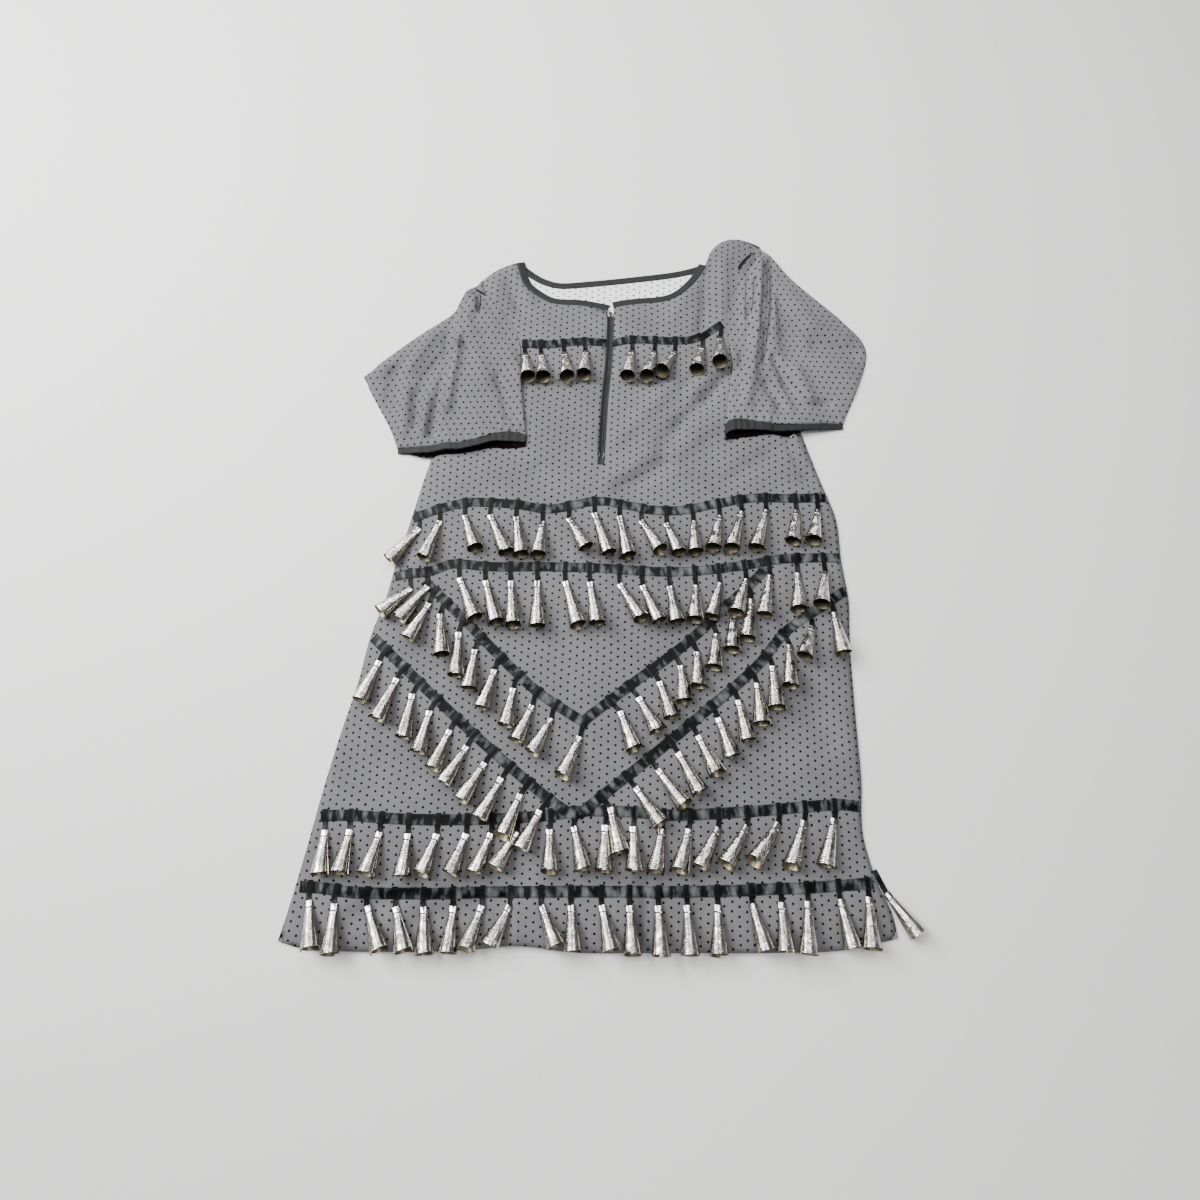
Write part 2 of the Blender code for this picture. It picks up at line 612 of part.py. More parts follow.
# ------------------------------------------------------------ ribbons, jingles
def ribbon_line(route, surface, pieces, start, end, near_edge, far_edge, gap):
    """Two lines of points along a ribbon, just above whatever it crosses."""
    lower, upper = [], []
    half_step = 0.6 * (end - start) / pieces
    for step in range(pieces + 1):
        (x, y), (dx, dy) = route.at(blend(start, end, step / pieces))
        for line, shift in ((lower, near_edge), (upper, far_edge)):
            px, py = x - dy * shift, y + dx * shift
            ahead = (px + dx * half_step, py + dy * half_step)
            behind = (px - dx * half_step, py - dy * half_step)
            height = surface.highest_along(behind, ahead, 0.5 * RIBBON_WIDTH)
            line.append((px, py, height + gap))
    return lower, upper


def make_ribbon(name, points, surface, collection):
    """The ribbon above its lower edge; the jingles' header is that edge."""
    route = Route(points)
    pieces = max(3, round(route.length / RIBBON_STEP))
    half = 0.5 * RIBBON_WIDTH
    span = (END_TRIM, route.length - END_TRIM)
    upper, lower = ribbon_line(route, surface, pieces, *span, half, HEADER_WIDTH + SEAM - half, SEAM)
    strip(name, upper, lower, RIBBON_THICK, "satin", collection)
    return ribbon_line(route, surface, pieces, *span, half, -half, SEAM + RIBBON_THICK)


def swung(place, degrees, distance):
    """The place a distance away, turned from straight down the dress towards +X."""
    angle = math.radians(degrees)
    return (place[0] + distance * math.sin(angle), place[1] - distance * math.cos(angle))


def cone_ring(centre, side, half_width, half_height, floor):
    """Corners round a cone, from the lower right, flat underneath."""
    flat = math.sin(math.pi / 3.0)
    corners = []
    for corner in range(CONE_SIDES):
        turn = math.tau * (corner + 0.5) / CONE_SIDES - math.pi / 2
        across, up = half_width * math.cos(turn), half_height * math.sin(turn) / flat
        corners.append((centre[0] + side[0] * across, centre[1] + side[1] * across,
                        floor + half_height + up))
    return corners


class JingleRow:
    """A header strip with hangers and hollow cones, all one closed skin."""

    def __init__(self, surface):
        self.surface = surface
        self.vertices = []
        self.faces = []

    def add(self, points):
        start = len(self.vertices)
        self.vertices += points
        return start

    def header_section(self, route, distance):
        """Four corners across the header: far top, far bottom, near bottom, near top."""
        (x, y), (dx, dy) = route.at(distance)
        half = 0.5 * RIBBON_WIDTH
        (far_x, far_y), (near_x, near_y) = ((x - dy * shift, y + dx * shift)
                                            for shift in (HEADER_WIDTH - half, -half))
        reach = STRAP_WIDTH
        level = SEAM + max(self.surface.highest_near(far_x, far_y, reach),
                           self.surface.highest_near(near_x, near_y, reach))
        return self.add([(far_x, far_y, level + RIBBON_THICK), (far_x, far_y, level),
                         (near_x, near_y, level), (near_x, near_y, level + RIBBON_THICK)])

    def header(self, route, middles):
        """The strip from just before the first hanger to just past the last.  Its near side
        is left open where a hanger starts; the four corners of each opening are returned."""
        margin = 0.9 * STRAP_WIDTH
        distances = []
        for middle in middles:
            distances += [middle - 0.5 * STRAP_WIDTH, middle + 0.5 * STRAP_WIDTH]
        distances = [distances[0] - margin, *distances, distances[-1] + margin]
        sections = [self.header_section(route, distance) for distance in distances]
        ports = []
        for index, (here, there) in enumerate(zip(sections, sections[1:])):
            sides = [face[::-1] for face in ring_faces(here, there, 4)]
            if index % 2 == 1:
                ports.append((here + 3, here + 2, there + 2, there + 3))
                del sides[2]
            self.faces += sides
        self.faces.append(tuple(sections[0] + corner for corner in range(4)))
        self.faces.append(tuple(sections[-1] + corner for corner in (3, 2, 1, 0)))
        return ports

    def cone(self, port, strap, lean, swing, length):
        """Strap from the header's opening, crimped neck, body, rim and hollow inside."""
        root = [sum(self.vertices[corner][axis] for corner in port) / 4 for axis in (0, 1)]
        neck = swung(root, lean, strap)
        mouth = swung(neck, swing, length)
        neck_floor, mouth_floor = self.surface.resting_line(root, neck, mouth)
        side = (math.cos(math.radians(swing)), math.sin(math.radians(swing)))
        neck_ring = self.add(cone_ring(neck, side, *CONE_NECK_HALF, neck_floor))
        mouth_ring = self.add(cone_ring(mouth, side, CONE_MOUTH_RADIUS, CONE_MOUTH_RADIUS, mouth_floor))
        bore = CONE_MOUTH_RADIUS - CONE_WALL
        inner_ring = self.add(cone_ring(mouth, side, bore, bore, mouth_floor + CONE_WALL))
        inside = 0.1
        apex = self.add([(blend(neck[0], mouth[0], inside), blend(neck[1], mouth[1], inside),
                          blend(neck_floor, mouth_floor, inside) + 1.3 * CONE_NECK_HALF[1])])
        self.faces += ring_faces(neck_ring, mouth_ring, CONE_SIDES)
        self.faces += ring_faces(mouth_ring, inner_ring, CONE_SIDES)
        self.faces += [(inner_ring + i, inner_ring + (i + 1) % CONE_SIDES, apex) for i in range(CONE_SIDES)]
        self.join_strap(port, neck_ring)

    def join_strap(self, port, neck_ring):
        """Faces between the header's four-cornered opening and the six-cornered neck."""
        top_left, bottom_left, bottom_right, top_right = port
        lower_right, right, upper_right, upper_left, left, lower_left = range(neck_ring, neck_ring + 6)
        self.faces += [
            (top_left, upper_left, upper_right, top_right),
            (bottom_left, bottom_right, lower_right, lower_left),
            (top_left, left, upper_left),
            (top_left, bottom_left, left),
            (bottom_left, lower_left, left),
            (top_right, upper_right, right),
            (top_right, right, bottom_right),
            (bottom_right, right, lower_right)]


def make_jingles(name, points, hangers, surface, collection):
    """One ribbon's header with a cone at each hanger."""
    strap, first_lean, last_lean = HANGERS[name]
    route = Route(points)
    near = Route(offset_line(route, NEAR_EDGE_PIECES, -0.5 * RIBBON_WIDTH))
    room = 0.8 * STRAP_WIDTH
    placed = []
    for index, (x, swing, length) in enumerate(hangers):
        lean = blend(first_lean, last_lean, index / (len(hangers) - 1))
        along = near.distance_at_x(x - strap * math.sin(math.radians(lean))) / near.length
        middle = min(max(along * route.length, room), route.length - room)
        placed.append((middle, lean, swing, length))
    row = JingleRow(surface)
    ports = row.header(route, [middle for middle, _, _, _ in placed])
    for port, (_, lean, swing, length) in zip(ports, placed):
        row.cone(port, strap, lean, swing, length)
    new_object("jingles_" + name, row.vertices, row.faces, "tin", collection)
    return row.vertices, row.faces


def make_side_jingle(collection):
    """One cone on the surface beside the dress, hung from the right side seam."""
    inside = 0.5 * RIBBON_WIDTH - HEADER_WIDTH - SEAM
    route = Route(offset_line(Route(SIDE_SEAM), 1, inside))
    row = JingleRow(Surface())
    port, = row.header(route, [0.5 * route.length])
    row.cone(port, SIDE_STRAP, SIDE_LEAN, SIDE_SWING, SIDE_LENGTH)
    new_object("jingle_side", row.vertices, row.faces, "tin", collection)


def main():
    for item in list(bpy.data.objects):
        bpy.data.objects.remove(item)
    collection = bpy.data.collections.new("Jingle dress")
    bpy.context.scene.collection.children.link(collection)
    surface = Surface()
    surface.add(*make_front(collection))
    make_back(collection)
    make_sleeve("left", LEFT_SLEEVE, surface, collection, False)
    make_sleeve("right", RIGHT_SLEEVE, surface, collection, True)
    make_neck_bindings(collection)
    make_zip(collection)
    rows = (("chest_left", CHEST_LEFT, CHEST_LEFT_HUNG), ("chest_right", CHEST_RIGHT, CHEST_RIGHT_HUNG),
            ("row_1", ROW_1, ROW_1_HUNG),
            ("v1_right", V1_RIGHT, V1_RIGHT_HUNG), ("v1_left", V1_LEFT, V1_LEFT_HUNG),
            ("row_2", ROW_2, ROW_2_HUNG),
            ("row_3", ROW_3, ROW_3_HUNG), ("row_4", ROW_4, ROW_4_HUNG),
            ("v2_right", V2_RIGHT, V2_RIGHT_HUNG), ("v2_left", V2_LEFT, V2_LEFT_HUNG))
    for name, points, _ in rows:
        upper, lower = make_ribbon("ribbon_" + name, points, surface, collection)
        count = len(upper)
        surface.add(lower + upper, [(i, i + 1, count + i + 1, count + i) for i in range(count - 1)])
    for name, points, hangers in rows:
        surface.add(*make_jingles(name, points, hangers, surface, collection))
    make_side_jingle(collection)


main()
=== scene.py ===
# %% [markdown]
# # A jingle dress laid flat
# A jingle dress is a plain cotton dress that is dressed up by hand: rows of satin
# ribbon are sewn across it, and from each row hang tin cones that ring as the dancer
# moves.  This lesson starts from solids that already have the right size and place, and
# makes from them the cloth, the ribbon and the tin that an eye expects.

# %% Load the measured frame
import math

import bmesh
import bpy
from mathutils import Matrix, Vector, noise
from mathutils.bvhtree import BVHTree
from mathutils.kdtree import KDTree


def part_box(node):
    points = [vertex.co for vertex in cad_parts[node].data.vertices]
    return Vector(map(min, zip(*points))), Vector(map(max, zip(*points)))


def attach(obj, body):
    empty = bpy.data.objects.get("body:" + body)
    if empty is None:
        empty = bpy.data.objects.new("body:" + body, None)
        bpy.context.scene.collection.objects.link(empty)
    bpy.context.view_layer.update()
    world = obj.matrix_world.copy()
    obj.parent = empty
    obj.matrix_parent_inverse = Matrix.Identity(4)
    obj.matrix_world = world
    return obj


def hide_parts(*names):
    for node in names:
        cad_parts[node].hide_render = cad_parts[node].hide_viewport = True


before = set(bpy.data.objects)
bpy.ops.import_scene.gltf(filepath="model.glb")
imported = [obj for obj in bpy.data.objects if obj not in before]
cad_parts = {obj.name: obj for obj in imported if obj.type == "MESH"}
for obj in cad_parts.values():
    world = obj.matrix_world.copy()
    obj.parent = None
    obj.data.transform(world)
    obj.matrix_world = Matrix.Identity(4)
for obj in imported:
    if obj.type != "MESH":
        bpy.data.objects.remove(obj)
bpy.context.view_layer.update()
MM = 0.001
BODY = "root"


# %% [markdown]
# A few small helpers save most of the typing.  `linear` turns the hex colours that a
# painter would pick into the linear values that Blender reckons with.  `add` puts one
# node in a tree with its settings, values and links, and where it is given another node
# it takes that node's first output.  `settled` works a piece's modifiers into a plain
# mesh, so that what follows can measure it.

# %% Colours, nodes and finished meshes
SHARP_EDGE = math.radians(50.0)


def linear(colour):
    """An sRGB hex colour as linear red, green, blue and alpha."""
    parts = [int(colour[start:start + 2], 16) / 255 for start in (1, 3, 5)]
    return (*[c / 12.92 if c <= 0.04045 else ((c + 0.055) / 1.055) ** 2.4 for c in parts], 1.0)


def feed(tree, node, inputs):
    """Give each input a value, a link from an output, or one from a node's first output."""
    for name, value in inputs.items():
        if isinstance(value, bpy.types.Node):
            value = value.outputs[0]
        if isinstance(value, bpy.types.NodeSocket):
            tree.links.new(value, node.inputs[name])
        else:
            node.inputs[name].default_value = value
    return node


def add(tree, kind, inputs=None, **settings):
    """One node with its settings, and with its inputs fed."""
    made = tree.nodes.new(kind)
    for name, value in settings.items():
        setattr(made, name, value)
    return feed(tree, made, inputs or {})


def new_material(name):
    """A material, its tree, and the shader in it."""
    material = bpy.data.materials.new(name)
    material.use_nodes = True
    return material, material.node_tree, material.node_tree.nodes["Principled BSDF"]


def plain_material(name, colour, roughness, metallic=0.0, specular=0.5):
    """The same three, for a material of one colour."""
    material, tree, shader = new_material(name)
    feed(tree, shader, {"Base Color": linear(colour), "Roughness": roughness,
                        "Metallic": metallic, "Specular IOR Level": specular})
    return material, tree, shader


def in_scene(name, mesh, materials=()):
    """A piece of this mesh, set in the scene."""
    for material in materials:
        mesh.materials.append(material)
    piece = bpy.data.objects.new(name, mesh)
    bpy.context.scene.collection.objects.link(piece)
    return piece


def new_piece(name, vertices, faces, materials=()):
    """A piece from points and faces, smooth but for its sharp edges."""
    mesh = bpy.data.meshes.new(name)
    mesh.from_pydata(vertices, [], faces)
    mesh.shade_smooth()
    mesh.set_sharp_from_angle(angle=SHARP_EDGE)
    return in_scene(name, mesh, materials)


def piece_from(solid, name, materials):
    """A piece from an editable solid, which is used up."""
    mesh = bpy.data.meshes.new(name)
    solid.to_mesh(mesh)
    solid.free()
    return in_scene(name, mesh, materials)


def settled(piece):
    """The piece with its modifiers worked into a plain mesh."""
    depsgraph = bpy.context.evaluated_depsgraph_get()
    mesh = bpy.data.meshes.new_from_object(piece.evaluated_get(depsgraph))
    piece.modifiers.clear()
    piece.data = mesh
    return piece


def hand_over(piece, slot, *nodes):
    """Let the piece ride on the dress and stand for its solids."""
    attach(piece, BODY)
    if nodes:
        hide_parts(*nodes)
    return piece


def blend(a, b, t):
    """From a to b as t goes from 0 to 1."""
    return a + (b - a) * t


def smooth_step(t):
    """0 below 0, 1 above 1, and a soft step between."""
    t = min(max(t, 0.0), 1.0)
    return t * t * (3.0 - 2.0 * t)


# %% [markdown]
# The dress lies on a pale table and is seen from a little on the hem's side of straight
# above.  A wide lens close by makes the hem look nearer than the neck, so the lens is
# chosen first, and the camera is then stood off until the dress fills the view.  One
# large softbox on the left and a long one by the right shoulder light the cloth at a
# slant, and a low one beyond the hem shines on the cones.

# %% Camera, table and softboxes
LENS = 21.0
SENSOR = 36.0
CAMERA_TILT = math.radians(16.0)
CAMERA_PLACE = Vector((-0.010, -0.325, 0.8738))

camera = bpy.data.objects.new("camera", bpy.data.cameras.new("camera"))
camera.data.lens = LENS
camera.data.sensor_width = SENSOR
camera.location = CAMERA_PLACE
camera.rotation_euler = (CAMERA_TILT, 0.0, 0.0)
bpy.context.scene.collection.objects.link(camera)
bpy.context.scene.camera = camera

TABLE_HALF = 3.0
TABLE_DROP = 0.05 * MM
# Matt paint: pale and even, with soft shadows and hardly a reflection.
table_paint = plain_material("pale matt table", "#eeedeb", 0.7)[0]
table = new_piece("table", [
    (x * TABLE_HALF, y * TABLE_HALF, -TABLE_DROP) for x, y in ((-1, -1), (1, -1), (1, 1), (-1, 1))],
    [(0, 1, 2, 3)], (table_paint,))


def softbox(name, place, aim, size, watts):
    """A soft lamp at a place, turned to its aim; both in metres, as its size is."""
    lamp = bpy.data.lights.new(name, "AREA")
    lamp.shape = "RECTANGLE"
    lamp.size, lamp.size_y = size
    lamp.energy = watts
    item = bpy.data.objects.new(name, lamp)
    item.location = place
    item.rotation_euler = (Vector(aim) - Vector(place)).to_track_quat("-Z", "Y").to_euler()
    bpy.context.scene.collection.objects.link(item)


softbox("softbox_long", (0.35, 1.15, 2.1), (0.35, 1.15, 0.0), (0.85, 2.9), 46.0)
softbox("softbox_left", (-1.5, 0.8, 1.6), (0.0, 0.0, 0.0), (1.6, 1.6), 124.0)
softbox("softbox_hem", (0.5, -1.7, 1.2), (0.0, 0.0, 0.0), (1.4, 0.5), 9.0)
WALL_GLOW = 0.14
world = bpy.data.worlds.new("studio")
world.use_nodes = True
feed(world.node_tree, world.node_tree.nodes["Background"], {
    "Color": linear("#e6e6e6"), "Strength": WALL_GLOW})
bpy.context.scene.world = world
print("lens, mm:", LENS, "at a height, m:", round(CAMERA_PLACE.z, 2))


# %% [markdown]
# The frame's solids are loose triangles.  Joined up, they tell everything that the finer
# pieces need.  A strip such as a ribbon has a top face with two long edges, and its
# boundary, walked once round, pairs the points of one edge with those of the other.
# A cone's hollow ends in a point where six long edges meet, which is how it is found.

# %% Read strips and cones from the frame
JOIN = 0.01 * MM
CONE_CORNERS = 6
LONG_EDGE = 33 * MM
NECK_REACH = 6 * MM
HOLLOW_START = 0.1
HOLLOW_RISE = 2.21 * MM
NECK_HALF_HEIGHT = 1.7 * MM
MOUTH_RADIUS = 9.4 * MM
WIDE_GAP = 1.7
FACES_UP = 0.6
START_TO_END = Vector((1.0, 0.4, 0.0))


def joined(node):
    """The solid's triangles with their shared corners merged."""
    solid = bmesh.new()
    solid.from_mesh(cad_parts[node].data)
    bmesh.ops.remove_doubles(solid, verts=solid.verts, dist=JOIN)
    solid.normal_update()
    return solid


def middle(points):
    """The middle of some points."""
    return sum((Vector(p) for p in points), Vector()) / len(points)


def filled(loop):
    """The loop with a point set in each gap where a corner on a straight edge was left out."""
    gaps = [(b - a).length for a, b in zip(loop, loop[1:] + loop[:1])]
    usual = sorted(gaps)[len(gaps) // 2]
    full = []
    for a, b, gap in zip(loop, loop[1:] + loop[:1], gaps):
        full += [a, a.lerp(b, 0.5)] if gap > WIDE_GAP * usual else [a]
    return full


def strip_stations(node):
    """Pairs of points across a strip's top, from its left or lower end to the other."""
    solid = joined(node)
    top = {face for face in solid.faces if face.normal.z > FACES_UP}
    rim = [edge for edge in solid.edges if sum(face in top for face in edge.link_faces) == 1]
    beside = {}
    for edge in rim:
        a, b = edge.verts
        beside.setdefault(a, []).append(b)
        beside.setdefault(b, []).append(a)
    loop = [rim[0].verts[0]]
    while len(loop) < len(rim):
        ahead = [v for v in beside[loop[-1]] if v not in loop[-2:]]
        loop.append(ahead[0])
    points = filled([v.co.copy() for v in loop])
    half = len(points) // 2

    def pairs(start):
        """The points paired across the strip, when the walk starts from this one."""
        turned = points[start:] + points[:start]
        return [(turned[i], turned[-1 - i]) for i in range(half)]

    best = min((pairs(start) for start in range(len(points))),
               key=lambda found: sum((a - b).length for a, b in found))
    first, last = middle(best[0]), middle(best[-1])
    if (last - first).dot(START_TO_END) < 0.0:
        best = best[::-1]
    run = middle(best[-1]) - middle(best[0])
    a, b = best[0]
    if run.cross(b - a).z < 0.0:
        best = [(b, a) for a, b in best]
    solid.free()
    return best


def read_cones(node):
    """For each cone: where its hanger starts, its flattened top and its mouth's middle."""
    solid = joined(node)
    found = []
    for apex in solid.verts:
        ring = [edge.other_vert(apex) for edge in apex.link_edges]
        if len(ring) != CONE_CORNERS or min((v.co - apex.co).length for v in ring) < LONG_EDGE:
            continue
        mouth = middle([v.co for v in ring])
        neck = mouth + (apex.co - mouth) / (1.0 - HOLLOW_START)
        mouth_floor = mouth.z - MOUTH_RADIUS
        neck_floor = (apex.co.z - HOLLOW_RISE - HOLLOW_START * mouth_floor) / (1.0 - HOLLOW_START)
        neck.z = neck_floor + NECK_HALF_HEIGHT
        near = [v for v in solid.verts if (v.co.xy - neck.xy).length < NECK_REACH]
        beyond = {edge.other_vert(v) for v in near for edge in v.link_edges}
        root = [v.co for v in beyond if NECK_REACH < (v.co.xy - neck.xy).length < LONG_EDGE]
        found.append((middle(root), neck, mouth))
    solid.free()
    return sorted(found, key=lambda cone: cone[1].x)


RIBBON_ROWS = ("chest_left", "chest_right", "row_1", "v1_right", "v1_left", "row_2",
               "row_3", "row_4", "v2_right", "v2_left")
cones = {row: read_cones("jingles_" + row) for row in RIBBON_ROWS}
cones["side"] = read_cones("jingle_side")
print("cones in each row:", {row: len(found) for row, found in cones.items()})


# %% [markdown]
# ## The cloth
# The print is a lattice of small black dots on mid-grey cotton, each dot 10 mm from its
# six neighbours.  Two rectangular lattices, one set in the middle of the other's cells,
# make such a pattern, so the shader wraps the place into a cell twice and keeps the
# nearer centre.  The thread of real shirting is 0.2 mm, too fine to show; it is drawn
# at 0.9 mm here.  The wrong side lets the print show through, pale on white.

# %% Printed cotton
DOT_PITCH = 10 * MM
DOT_RADIUS = 0.146
DOT_EDGE = 0.015
PRINT_DRIFT = 6 * MM
THREAD = 0.9 * MM
DRIFT_SIZE = 55 * MM
FRAY = 1.5 * MM
RAGGED = 0.02
BLOTCH = 60 * MM
FLECK = 1.1 * MM
FUZZ = 2.5 * MM
COTTON_ROUGHNESS = 0.86
COTTON_SPECULAR = 0.08


def dot_mask(tree, place, turn):
    """1 inside a dot and 0 outside, on a lattice turned by this many degrees."""
    drift = add(tree, "ShaderNodeTexNoise", {
        "Vector": place, "Scale": 1.0 / DRIFT_SIZE, "Detail": 1.0}).outputs[1]
    drift = add(tree, "ShaderNodeVectorMath", {0: drift, 1: (0.5, 0.5, 0.5)}, operation="SUBTRACT")
    drift = add(tree, "ShaderNodeVectorMath", {0: drift, "Scale": PRINT_DRIFT}, operation="SCALE")
    place = add(tree, "ShaderNodeVectorMath", {0: place, 1: drift}, operation="ADD")
    laid = add(tree, "ShaderNodeMapping", {
        "Vector": place, "Rotation": (0.0, 0.0, math.radians(turn)),
        "Scale": (1.0 / DOT_PITCH, 1.0 / DOT_PITCH, 0.0)})
    half = Vector((0.5 * math.sqrt(3.0), 0.5, 0.5))
    away = []
    for shift in (Vector(), Vector((half.x, half.y, 0.0))):
        moved = add(tree, "ShaderNodeVectorMath", {0: laid, 1: shift}, operation="ADD")
        cell = add(tree, "ShaderNodeVectorMath", {0: moved, 1: half, 2: -half}, operation="WRAP")
        away.append(add(tree, "ShaderNodeVectorMath", {0: cell}, operation="LENGTH").outputs[1])
    nearest = add(tree, "ShaderNodeMath", {0: away[0], 1: away[1]}, operation="MINIMUM")
    fray = add(tree, "ShaderNodeTexNoise", {"Vector": place, "Scale": 1.0 / FRAY, "Detail": 2.0})
    fray = add(tree, "ShaderNodeMapRange", {0: fray, 1: 0.3, 2: 0.7, 3: -RAGGED, 4: RAGGED})
    nearest = add(tree, "ShaderNodeMath", {0: nearest, 1: fray}, operation="ADD")
    return add(tree, "ShaderNodeMapRange", {
        0: nearest, 1: DOT_RADIUS - DOT_EDGE, 2: DOT_RADIUS + DOT_EDGE, 3: 1.0, 4: 0.0})


def weave_height(tree, place, turn):
    """Threads that cross: two sines at right angles."""
    laid = add(tree, "ShaderNodeMapping", {
        "Vector": place, "Rotation": (0.0, 0.0, math.radians(turn)),
        "Scale": (math.tau / THREAD,) * 3})
    parts = add(tree, "ShaderNodeSeparateXYZ", {0: laid}).outputs
    warp = add(tree, "ShaderNodeMath", {0: parts[0]}, operation="SINE")
    weft = add(tree, "ShaderNodeMath", {0: parts[1]}, operation="SINE")
    return add(tree, "ShaderNodeMath", {0: warp, 1: weft}, operation="MULTIPLY")


def printed_cotton(name, turn, ground, shade, dot):
    """Cotton between two shades, with dots on a lattice that is turned this far."""
    material, tree, shader = new_material(name)
    place = add(tree, "ShaderNodeTexCoord").outputs["Object"]
    blotch = add(tree, "ShaderNodeTexNoise", {
        "Vector": place, "Scale": 1.0 / BLOTCH, "Detail": 3.0})
    blotch = add(tree, "ShaderNodeMapRange", {0: blotch, 1: 0.35, 2: 0.65, 3: 0.0, 4: 0.4})
    fleck = add(tree, "ShaderNodeTexNoise", {"Vector": place, "Scale": 1.0 / FLECK, "Detail": 1.0})
    fleck = add(tree, "ShaderNodeMapRange", {0: fleck, 1: 0.3, 2: 0.7, 3: 0.0, 4: 0.6})
    uneven = add(tree, "ShaderNodeMath", {0: blotch, 1: fleck}, operation="ADD")
    cloth = add(tree, "ShaderNodeMix", {
        0: uneven, 6: linear(ground), 7: linear(shade)}, data_type="RGBA").outputs[2]
    colour = add(tree, "ShaderNodeMix", {
        0: dot_mask(tree, place, turn), 6: cloth, 7: linear(dot)}, data_type="RGBA").outputs[2]
    fuzz = add(tree, "ShaderNodeTexNoise", {"Vector": place, "Scale": 1.0 / FUZZ, "Detail": 4.0})
    grain = add(tree, "ShaderNodeMath", {
        0: weave_height(tree, place, turn), 1: fuzz}, operation="ADD")
    bump = add(tree, "ShaderNodeBump", {"Height": grain, "Distance": 0.2 * MM, "Strength": 0.35})
    feed(tree, shader, {"Base Color": colour, "Roughness": COTTON_ROUGHNESS,
                        "Specular IOR Level": COTTON_SPECULAR, "Normal": bump})
    return material


BODY_TURN = 2.0
LEFT_SLEEVE_TURN = 30.0
RIGHT_SLEEVE_TURN = -30.0
DOT_BLACK = "#040505"
# Plain-woven shirting is matt, a little blotched where it was folded, and flecked by its
# threads.  The body and the sleeves are copies of one cotton in slightly different
# shades: painted light and shade for how the light falls on each, the left sleeve
# darkest and the right one lightest.
body_cotton = printed_cotton(
    "dotted cotton, body", BODY_TURN, "#767678", "#626264", DOT_BLACK)
left_cotton = printed_cotton(
    "dotted cotton, left sleeve", LEFT_SLEEVE_TURN, "#727274", "#5f5f61", DOT_BLACK)
right_cotton = printed_cotton(
    "dotted cotton, right sleeve", RIGHT_SLEEVE_TURN, "#7a7a7c", "#656567", DOT_BLACK)
wrong_side = printed_cotton(
    "dotted cotton, wrong side", BODY_TURN, "#fcfcfc", "#f3f3f3", "#4b4e52")
print("materials so far:", len(bpy.data.materials))


# %% [markdown]
# The solids of the front and the sleeves are cages: their corners lie on the cloth, 25 mm
# apart.  Joined back into four-sided faces and subdivided, they bend as cloth does.
# The narrow faces of the cut edges are creased, so that the outline keeps its place.
# Then the small folds come, a table of soft ridges and troughs and a little noise.  Both
# skins move together, and never down into the layer below or through each other.

# %% Shells of cloth from the solids
RIM_WIDTH = 2.0 * MM
FLAT_ENOUGH = math.radians(50.0)
ANY_SHAPE = math.radians(179.0)
SHARP_CORNER = math.radians(38.0)
FACES_DOWN = 0.3
MOST_CORRECTED = 3.0 * MM


def cloth_cage(node):
    """The solid as four-sided faces, its cut edges creased; and the faces of its cut edges."""
    cage = joined(node)
    bmesh.ops.join_triangles(cage, faces=cage.faces, angle_face_threshold=FLAT_ENOUGH,
                             angle_shape_threshold=ANY_SHAPE)
    cage.faces.ensure_lookup_table()
    rim = {face for face in cage.faces
           if min(edge.calc_length() for edge in face.edges) < RIM_WIDTH}
    crease = cage.edges.layers.float.new("crease_edge")
    corner = cage.verts.layers.float.new("crease_vert")
    for face in rim:
        for edge in face.edges:
            if edge.calc_length() > RIM_WIDTH:
                edge[crease] = 1.0
    for vertex in {vertex for face in rim for vertex in face.verts}:
        ends = [edge.other_vert(vertex).co - vertex.co
                for edge in vertex.link_edges if edge[crease] == 1.0]
        if len(ends) == 2 and ends[0].angle(-ends[1]) > SHARP_CORNER:
            vertex[corner] = 1.0
    return cage, rim


def inner_skin(cage, rim):
    """Faces of the smaller of the two skins that the cut edges part."""
    left = set(cage.faces) - rim
    skins = []
    while left:
        skin, unvisited = set(), [left.pop()]
        while unvisited:
            face = unvisited.pop()
            skin.add(face)
            for edge in face.edges:
                for other in edge.link_faces:
                    if other in left:
                        left.remove(other)
                        unvisited.append(other)
        skins.append(skin)
    return min(skins, key=lambda skin: sum(face.calc_area() for face in skin))


def facing_down(cage, rim):
    """Faces of the lower skin, where cloth lies single."""
    return [face for face in cage.faces if face.normal.z < -FACES_DOWN]


def subdivided(piece, levels, passes=3):
    """Subdivide so that the fine surface comes close to the cage's own corners."""
    smooth = piece.modifiers.new("Soft", "SUBSURF")
    smooth.levels = smooth.render_levels = levels
    goals = [vertex.co.copy() for vertex in piece.data.vertices]
    for _ in range(passes):
        surface = BVHTree.FromObject(piece, bpy.context.evaluated_depsgraph_get())
        reached = [surface.find_nearest(goal)[0] for goal in goals]
        for vertex, goal, now in zip(piece.data.vertices, goals, reached):
            wanted = vertex.co + goal - now
            moved = wanted - goal
            vertex.co = goal + moved * (MOST_CORRECTED / max(moved.length, MOST_CORRECTED))
        piece.data.update()
        bpy.context.view_layer.update()
    missed = sorted((goal - now).length / MM for goal, now in zip(goals, reached))
    print(piece.name, "misses its corners by up to, mm:", round(missed[-1], 2))
    settled(piece)
    piece.data.shade_smooth()
    return piece


def cloth_shell(node, name, inside_of, materials, levels=2):
    """A solid as smooth cloth; inside_of tells which faces have the second material."""
    cage, rim = cloth_cage(node)
    for face in inside_of(cage, rim):
        face.material_index = 1
    return subdivided(piece_from(cage, name, materials), levels)


def move_to(piece, places):
    """Set every vertex's place at once."""
    piece.data.vertices.foreach_set("co", [part for place in places for part in place])
    piece.data.update()


